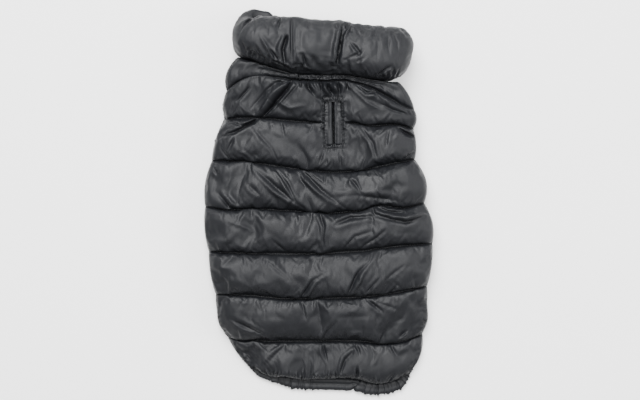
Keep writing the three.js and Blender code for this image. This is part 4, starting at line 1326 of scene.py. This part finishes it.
@dataclass
class GatheredTube:
    """A soft tube of gathered cloth along a line of points."""

    name: str
    points: np.ndarray
    half_width: np.ndarray
    half_height: np.ndarray
    closed: bool
    steps: int
    around: int = 20
    wave_mm: float = 4.0
    wave_depth: float = 0.14
    seed: int = 1
    groove: float = 0.0
    calm: np.ndarray | None = None

    def build(self) -> bpy.types.Object:
        """Returns the tube as an object, closed, with its faces outwards."""
        path, width, height = self.resampled()
        ahead = self.directions(path)
        level = np.stack([ahead[:, 1], -ahead[:, 0], np.zeros(len(path))], axis=1)
        level /= np.linalg.norm(level, axis=1)[:, None]
        rise = np.cross(level, ahead)
        tube, first, second = grid_object(self.name, self.steps, self.around)
        i = np.round(first * self.steps).astype(int)
        turn = 2 * math.pi * second
        swell = self.swell(path)[i, np.round(second * self.around).astype(int) % self.around]
        taper = np.ones(len(i)) if self.closed else edge_roll(np.minimum(i, self.steps - i) / 2.0, 1.0)
        out = (level[i] * (np.cos(turn) * width[i] * swell * taper)[:, None]
               + rise[i] * (np.sin(turn) * height[i] * swell * taper)[:, None])
        write_points(tube.data, (path[i] + out) * MM)
        length = np.concatenate([[0], np.cumsum(np.linalg.norm(np.diff(path, axis=0), axis=1))])
        self.map_surface(tube, length[i], second * 2 * math.pi * float(np.mean(height)))
        face_outwards(tube, 1e-7)
        write_value(tube.data, "seam", np.zeros(len(tube.data.vertices)))
        return tube

    def resampled(self) -> tuple[np.ndarray, np.ndarray, np.ndarray]:
        """Returns the path, half widths and half heights at even steps along the tube."""
        points = np.vstack([self.points, self.points[:1]]) if self.closed else self.points
        width = np.append(self.half_width, self.half_width[0]) if self.closed else self.half_width
        height = np.append(self.half_height, self.half_height[0]) if self.closed else self.half_height
        knots = np.concatenate([[0], np.cumsum(np.linalg.norm(np.diff(points, axis=0), axis=1))])
        at = np.linspace(0, knots[-1], self.steps + 1)
        path = np.stack([hermite(at, knots, points[:, k]) for k in range(3)], axis=1)
        return path, np.interp(at, knots, width), np.interp(at, knots, height)

    def directions(self, path: np.ndarray) -> np.ndarray:
        """Returns the unit direction of the path at each step."""
        if self.closed:
            ahead = np.roll(path[:-1], -1, axis=0) - np.roll(path[:-1], 1, axis=0)
            ahead = np.vstack([ahead, ahead[:1]])
        else:
            ahead = np.gradient(path, axis=0)
        return ahead / np.linalg.norm(ahead, axis=1)[:, None]

    def swell(self, path: np.ndarray) -> np.ndarray:
        """Returns the gathers as a factor on the tube's radius, uneven along and around it."""
        draw = np.random.default_rng(self.seed)
        length = float(np.linalg.norm(np.diff(path, axis=0), axis=1).sum())
        share = np.linspace(0, 1, self.steps + 1)
        turn = np.linspace(0, 2 * math.pi, self.around, endpoint=False)
        waves = max(3, round(length / self.wave_mm))
        slow = sum(np.sin(2 * math.pi * share * k + draw.uniform(0, 6.3)) for k in (3, 5, 8, 13)) / 3
        quick = sum(np.sin(2 * math.pi * share * round(waves * k) + draw.uniform(0, 6.3)) for k in (0.37, 0.61))
        phase = 2 * math.pi * waves * share + 1.6 * slow + 1.1 * quick
        lean = 1.5 * np.sin(turn + draw.uniform(0, 6.3)) + 0.8 * np.sin(2 * turn + draw.uniform(0, 6.3))
        folds = 0.5 + 0.5 * np.cos(phase[:, None] + lean[None, :])
        depth = self.wave_depth * (0.8 + 0.45 * slow + 0.3 * quick)[:, None]
        made = 1 + depth * (folds - 0.5) + 0.03 * quick[:, None] * np.cos(turn)[None, :]
        from_top = np.abs((turn - math.pi / 2 + math.pi) % (2 * math.pi) - math.pi)
        grooved = self.groove * (0.7 + 0.5 * slow)
        if self.calm is not None:
            calm = np.interp(share, np.linspace(0, 1, len(self.calm)), self.calm)
            made = 1 + (made - 1) * (1 - 0.7 * calm)[:, None]
            grooved = grooved + (0.6 - grooved) * calm
        made -= grooved[:, None] * np.exp(-((from_top / 0.3) ** 2))[None, :]
        if self.closed:
            made[-1] = made[0]
        return made

    def map_surface(self, tube: bpy.types.Object, along: np.ndarray, round_it: np.ndarray) -> None:
        """Gives the tube a UV map in metres, along it and round it."""
        mesh = tube.data
        layer = mesh.uv_layers.new(name="UVMap")
        corners = np.zeros(len(mesh.loops), np.int32)
        mesh.loops.foreach_get("vertex_index", corners)
        flat = np.stack([along[corners], round_it[corners]], axis=1) * MM
        layer.data.foreach_set("uv", flat.astype(np.float32).ravel())


@dataclass
class HemCasing:
    """The elasticated casing along the coat's tail."""

    start: float = 6.62
    half_width: float = 6.9
    side_half_width: float = 3.0
    half_height: float = 3.1
    pinch_x: float = 39

    def build(self, finishes: Finishes) -> bpy.types.Object:
        """Makes and dresses the casing."""
        sides = np.linspace(self.start, 8, 14)
        across = np.concatenate([-np.ones(14), np.linspace(-0.9, 0.9, 25), np.ones(14)])
        line = np.concatenate([sides, np.full(25, 8.0), sides[::-1]])
        x, y = PLAN.point(across, line)
        knots = np.concatenate([[0], np.cumsum(np.hypot(np.diff(x), np.diff(y)))])
        share = knots / knots[-1]
        tail = smoothstep(share, 0.24, 0.38) * (1 - smoothstep(share, 0.7, 0.82))
        width = self.side_half_width + (self.half_width - self.side_half_width) * tail
        width *= 1 - 0.32 * np.exp(-(((x - self.pinch_x) / 2.5) ** 2)) * tail
        calm = smoothstep(x, -14, -6) * (1 - smoothstep(x, 34, 40)) * tail
        even = np.interp(np.linspace(0, 1, 200), share, calm)
        dx, dy = np.gradient(x), np.gradient(y)
        size = np.hypot(dx, dy)
        reach = (width * 0.86) * (0.8 + 0.2 * tail)
        height = np.maximum(PLAN.inner_height(line) + 0.6, self.half_height * 1.1)
        points = np.stack([x + dy / size * reach, y - dx / size * reach, height], axis=1)
        tube = GatheredTube("hem_casing_gathered", points, width, np.full(len(x), self.half_height),
                            closed=False, steps=1000, around=28, wave_mm=4.4, wave_depth=0.25, seed=3,
                            groove=0.3, calm=even).build()
        flat = read_points(tube.data)
        flat[:, 2] = np.maximum(flat[:, 2], 0)
        write_points(tube.data, flat)
        hand_over(tube, finishes.shell, Slot.SHELL, "hem_casing")
        return tube


@dataclass
class BellyBinding:
    """The binding along the belly's end, under the back."""

    half_width: float = 3.4
    half_height: float = 2.6

    def build(self, finishes: Finishes) -> bpy.types.Object:
        """Makes and dresses the binding."""
        across = np.linspace(-0.96, 0.96, 24)
        x, y = PLAN.point(across, np.full(24, CoatPlan.belly_end))
        points = np.stack([x, y - self.half_width * 1.1 - SEAM_GAP, np.full(24, self.half_height * 1.3)], axis=1)
        tube = GatheredTube("belly_binding_gathered", points, np.full(24, self.half_width),
                            np.full(24, self.half_height), closed=False, steps=420, around=18,
                            wave_mm=5.0, wave_depth=0.2, seed=7).build()
        hand_over(tube, finishes.trim, Slot.TRIM, "belly_binding")
        return tube


@dataclass
class LegBinding:
    """The elasticated binding round one leg opening."""

    side: Side
    start: float
    end: float
    depth: float = 36
    radius: float = 2.3
    rim_out: tuple[float, float] = (0.3, -1.8)

    def build(self, finishes: Finishes, belly: BellyPanel) -> bpy.types.Object:
        """Makes and dresses the binding.

        Args:
            finishes: The coat's finishes.
            belly: The panel whose cut it goes round.

        Returns:
            The finished piece.
        """
        sign = self.side.value
        reach = self.radius * 1.14 + 2 * SEAM_GAP
        line = np.linspace(self.start + 0.22, self.end - 0.16, 11)
        inset = belly.inset((self.side, self.start, self.end, self.depth), line) / PLAN.half_width(line)
        x, y = PLAN.point(sign * (1 - inset), line)
        dx, dy = np.gradient(x), np.gradient(y)
        size = np.hypot(dx, dy)
        height = PLAN.inner_height(np.linspace(self.start, self.end, 11)) - 0.6 - reach - 1.6
        cut = np.stack([x - dy / size * sign * reach, y + dx / size * sign * reach, height], axis=1)
        line = np.linspace(self.end - 0.2, self.start + 0.2, 7)
        x, y = PLAN.point(np.full(7, float(sign)), line)
        rim_out = self.rim_out[self.side is Side.RIGHT]
        rim = np.stack([x + sign * rim_out, y, PLAN.inner_height(line) - 0.3 - reach], axis=1)
        points = np.vstack([cut, rim])
        count = len(points)
        name = f"leg_binding_{self.side.name.lower()}"
        radii = np.full(count, self.radius)
        tube = GatheredTube(name + "_gathered", points, radii, radii, closed=True, steps=260, around=16,
                            wave_mm=5.0, wave_depth=0.22, seed=9).build()
        hand_over(tube, finishes.trim, Slot.TRIM, name)
        return tube


@dataclass
class NeckElastic:
    """The gathered elastic in the crease between the collar and the back."""

    from_x: float = -30
    to_x: float = 28
    half_width: float = 2.1
    half_height: float = 1.9
    knot: float = 0.8
    sink: float = -4.2

    def build(self, finishes: Finishes) -> bpy.types.Object:
        """Makes and dresses the elastic."""
        x = np.linspace(self.from_x, self.to_x, 13)
        line = np.full(13, 0.15)
        across = PLAN.across_at(x, np.zeros(13))
        top = PLAN.back_inside(across, line) + PLAN.back_thickness(across, line)
        y = PLAN.lines[0].y_at(x) - self.half_width
        knot = 1 + self.knot * np.exp(-(((x - self.from_x - 3) / 3) ** 2))
        points = np.stack([x, y, top + self.sink + self.half_height * knot], axis=1)
        tube = GatheredTube("neck_elastic_gathered", points, self.half_width * knot,
                            self.half_height * knot, closed=False, steps=260, around=18, wave_mm=6.4,
                            wave_depth=1.0, seed=4, groove=0.1).build()
        hand_over(tube, finishes.shell, Slot.SHELL, "neck_elastic")
        return tube


@dataclass
class SlotWelt:
    """A padded welt along one side of the leash slot."""

    side: Side
    hole_width: float = 18
    hole_length: float = 44
    mouth: float = 0.7
    stand: float = 0.8
    overlap: float = 0.9
    tuck: float = 2.2
    lip: float = 5.0
    flange_drop: float = 1.0
    seam_depth: float = 1.9
    depth: float = 15
    gape: float = 1.3
    lip_waver: float = 0.7
    tuck_depth: float = 0.4

    def build(self, finishes: Finishes) -> bpy.types.Object:
        """Makes and dresses the welt."""
        sign = self.side.value
        outer, inner = self.hole_width / 2 + self.overlap, self.mouth / 2
        centre, half = sign * (outer + inner) / 2, (outer - inner) / 2
        top = float(PLAN.inner_height(np.array([2.0]))[0]) + PLAN.slot_frame_thickness + self.stand
        reach = self.hole_length / 2 + self.tuck
        name = f"slot_welt_{self.side.name.lower()}"
        piece, first, second = grid_object(name + "_padded", 60, 44)
        along = (first * 2 - 1) * reach
        turn = 2 * math.pi * second
        cos, sin = np.cos(turn), np.sin(turn)
        section_x = np.sign(cos) * np.abs(cos) ** 0.5 * half
        section_z = np.sign(sin) * np.abs(sin) ** 0.62
        bottom = top - self.depth
        middle, tall = (top + bottom) / 2, (top - bottom) / 2
        ends = edge_roll(reach - np.abs(along), 3.0)
        ripple = 0.3 * ripples(along, 6 * sin, 30 + sign, 7) * (0.4 + 0.6 * np.abs(cos))
        opened = -sign * self.gape * np.sin(math.pi * np.clip(0.5 - along / reach / 2, 0, 1) ** 1.6)
        waist = np.where(section_z < 0.35, 0.86, 1.0)
        x = centre + section_x * (0.35 + 0.65 * ends) * waist + np.where(sin > 0.2, ripple * 0.4, 0)
        x -= opened * (1 - np.abs(section_x * sign - half) / (2 * half))
        z = middle + section_z * (tall + np.where(sin > 0, ripple, 0)) * (0.55 + 0.45 * ends)
        from_mouth = half + sign * section_x
        lip = self.lip + self.lip_waver * ripples(along, np.full_like(along, 5.0), 50 + sign, 24, 5)
        flange = smoothstep(from_mouth, lip, lip + 1.2)
        tucks = self.flange_drop + self.tuck_depth * np.abs(ripples(along, from_mouth, 36 + sign, 5.5, 7))
        seams = np.exp(-(((from_mouth - lip) / 0.6) ** 2))
        if self.side is Side.RIGHT:
            seams += 0.7 * np.exp(-(((from_mouth - lip * 0.45 - along / 18) / 0.5) ** 2))
        z -= np.where(sin > 0, self.seam_depth * seams + tucks * flange, 0)
        turned = PLAN.slot_tilt
        px = PLAN.slot_centre[0] + x * math.cos(turned) - along * math.sin(turned)
        py = PLAN.slot_centre[1] + x * math.sin(turned) + along * math.cos(turned)
        write_points(piece.data, np.stack([px, py, z], axis=1) * MM)
        face_outwards(piece, 1e-7)
        self.cap(piece)
        write_value(piece.data, "seam", np.full(len(piece.data.vertices), 0.25))
        subdivide(piece)
        hand_over(piece, finishes.shell, Slot.SHELL, name)
        return piece

    def cap(self, piece: bpy.types.Object) -> None:
        """Closes both ends of the welt."""
        bm = bmesh.new()
        bm.from_mesh(piece.data)
        bmesh.ops.holes_fill(bm, edges=[e for e in bm.edges if e.is_boundary], sides=0)
        bmesh.ops.recalc_face_normals(bm, faces=bm.faces[:])
        bm.to_mesh(piece.data)
        bm.free()


@dataclass
class Stitching:
    """Rows of sewing on the back: along each line of quilting and round the leash slot."""

    pitch: float = 2.6
    length: float = 1.7
    thickness: float = 0.5
    sunk_share: float = 0.1

    def build(self, finishes: Finishes, back: bpy.types.Object) -> bpy.types.Object:
        """Sews the rows onto the finished back.

        Args:
            finishes: The coat's finishes.
            back: The finished back, which the stitches lie on.

        Returns:
            The stitches as one piece.
        """
        depsgraph = bpy.context.evaluated_depsgraph_get()
        depsgraph.update()
        bm = bmesh.new()
        for row in [*self.quilting(), *slot_rows()]:
            steps = np.hypot(np.diff(row[:, 0]), np.diff(row[:, 1]))
            knots = np.concatenate([[0], np.cumsum(steps)])
            for at in np.arange(self.pitch / 2, knots[-1], self.pitch):
                ends = [Vector((np.interp(at + d, knots, row[:, 0]) * MM,
                                np.interp(at + d, knots, row[:, 1]) * MM, 0.12))
                        for d in (-self.length / 2, self.length / 2)]
                hits = [back.ray_cast(end, Vector((0, 0, -1))) for end in ends]
                if all(hit[0] and hit[1].z > 1 * MM for hit in hits):
                    self.stitch(bm, hits[0][1], hits[1][1])
        piece = new_object("stitching", bm)
        hand_over(piece, finishes.thread, None)
        return piece

    def stitch(self, bm: bmesh.types.BMesh, start: Vector, end: Vector) -> None:
        """Adds one stitch between two places on the cloth."""
        run = end - start
        made = bmesh.ops.create_icosphere(bm, subdivisions=1, radius=1.0)["verts"]
        turn = run.to_track_quat("X", "Z").to_matrix().to_4x4()
        size = Matrix.Diagonal((run.length * 0.62, self.thickness * MM * 0.55, self.thickness * MM * 0.45, 1))
        sunk = Vector((0, 0, -self.thickness * MM * self.sunk_share))
        bmesh.ops.transform(bm, matrix=Matrix.Translation((start + end) / 2 + sunk) @ turn @ size, verts=made)

    def quilting(self) -> list[np.ndarray]:
        """Returns the rows along the lines of quilting."""
        rows = []
        for number, quilt in enumerate(PLAN.lines[1:-1], 1):
            across = np.linspace(-0.985, 0.985, 120)
            x, y = PLAN.point(across, np.full(120, float(number)))
            clear = PLAN.slot_press(x, y, 1) < 0.5
            for part in np.split(np.arange(120), np.flatnonzero(np.diff(clear.astype(int))) + 1):
                if clear[part[0]] and len(part) > 3:
                    rows.append(np.stack([x[part], y[part]], axis=1))
        return rows


@dataclass
class Studio:
    """A pale floor, soft light and the camera straight above the coat."""

    image_width: int = 640
    mm_per_pixel: float = 1.05
    lens: float = 85
    sensor: float = 36
    aim: tuple[float, float, float] = (1.05, 2.1, 30)
    floor_gap: float = 0.3
    world_strength: float = 0.66

    def build(self) -> None:
        """Makes the floor, the lights and the camera."""
        bm = bmesh.new()
        bmesh.ops.create_grid(bm, x_segments=4, y_segments=4, size=3.0)
        floor = new_object("floor", bm)
        floor.data.transform(Matrix.Translation((0, 0, -self.floor_gap * MM)))
        material = bpy.data.materials.new("matt_white_paper")
        material.use_nodes = True
        shader = material.node_tree.nodes["Principled BSDF"]
        shader.inputs["Base Color"].default_value = linear("#fcfcfc")
        shader.inputs["Roughness"].default_value = 0.9
        floor.data.materials.append(material)
        self.light("key_above_the_collar", (-0.4, 1.35, 1.9), 1.3, 134)
        self.light("fill_at_the_right", (1.9, 0.1, 1.3), 1.2, 42)
        self.light("overhead", (-0.1, 0.1, 2.7), 1.6, 78)
        world = bpy.data.worlds.new("studio")
        world.use_nodes = True
        background = world.node_tree.nodes["Background"]
        background.inputs["Color"].default_value = linear("#ffffff")
        background.inputs["Strength"].default_value = self.world_strength
        bpy.context.scene.world = world
        self.camera()

    def light(self, name: str, place: tuple[float, float, float], size: float, power: float) -> None:
        """Adds one soft light that faces the coat."""
        lamp = bpy.data.lights.new(name, "AREA")
        lamp.shape = "SQUARE"
        lamp.size = size
        lamp.energy = power
        made = bpy.data.objects.new(name, lamp)
        made.location = place
        made.rotation_mode = "QUATERNION"
        made.rotation_quaternion = (Vector((0, 0, 0.02)) - Vector(place)).to_track_quat("-Z", "Y")
        bpy.context.scene.collection.objects.link(made)

    def camera(self) -> None:
        """Adds the camera, straight above, with the photograph's frame."""
        view = self.image_width * self.mm_per_pixel * MM
        lens = bpy.data.cameras.new("camera")
        lens.lens = self.lens
        lens.sensor_width = self.sensor
        made = bpy.data.objects.new("camera", lens)
        made.location = (self.aim[0] * MM, self.aim[1] * MM, self.aim[2] * MM + view * self.lens / self.sensor)
        bpy.context.scene.collection.objects.link(made)
        bpy.context.scene.camera = made


def main() -> None:
    """Builds the coat and its studio; each piece logs its face count as it is dressed."""
    logging.basicConfig(level=logging.INFO, format="%(name)s: %(message)s")
    finishes = Finishes()
    back = BackPanel().build(finishes)
    belly = BellyPanel()
    belly.build(finishes)
    Collar().build(finishes)
    HemCasing().build(finishes)
    BellyBinding().build(finishes)
    for side, start, end, depth in belly.openings:
        LegBinding(side, start, end, depth).build(finishes, belly)
    NeckElastic().build(finishes)
    for side in Side:
        SlotWelt(side).build(finishes)
    Stitching().build(finishes, back)
    Studio().build()


if __name__ == "__main__":
    main()
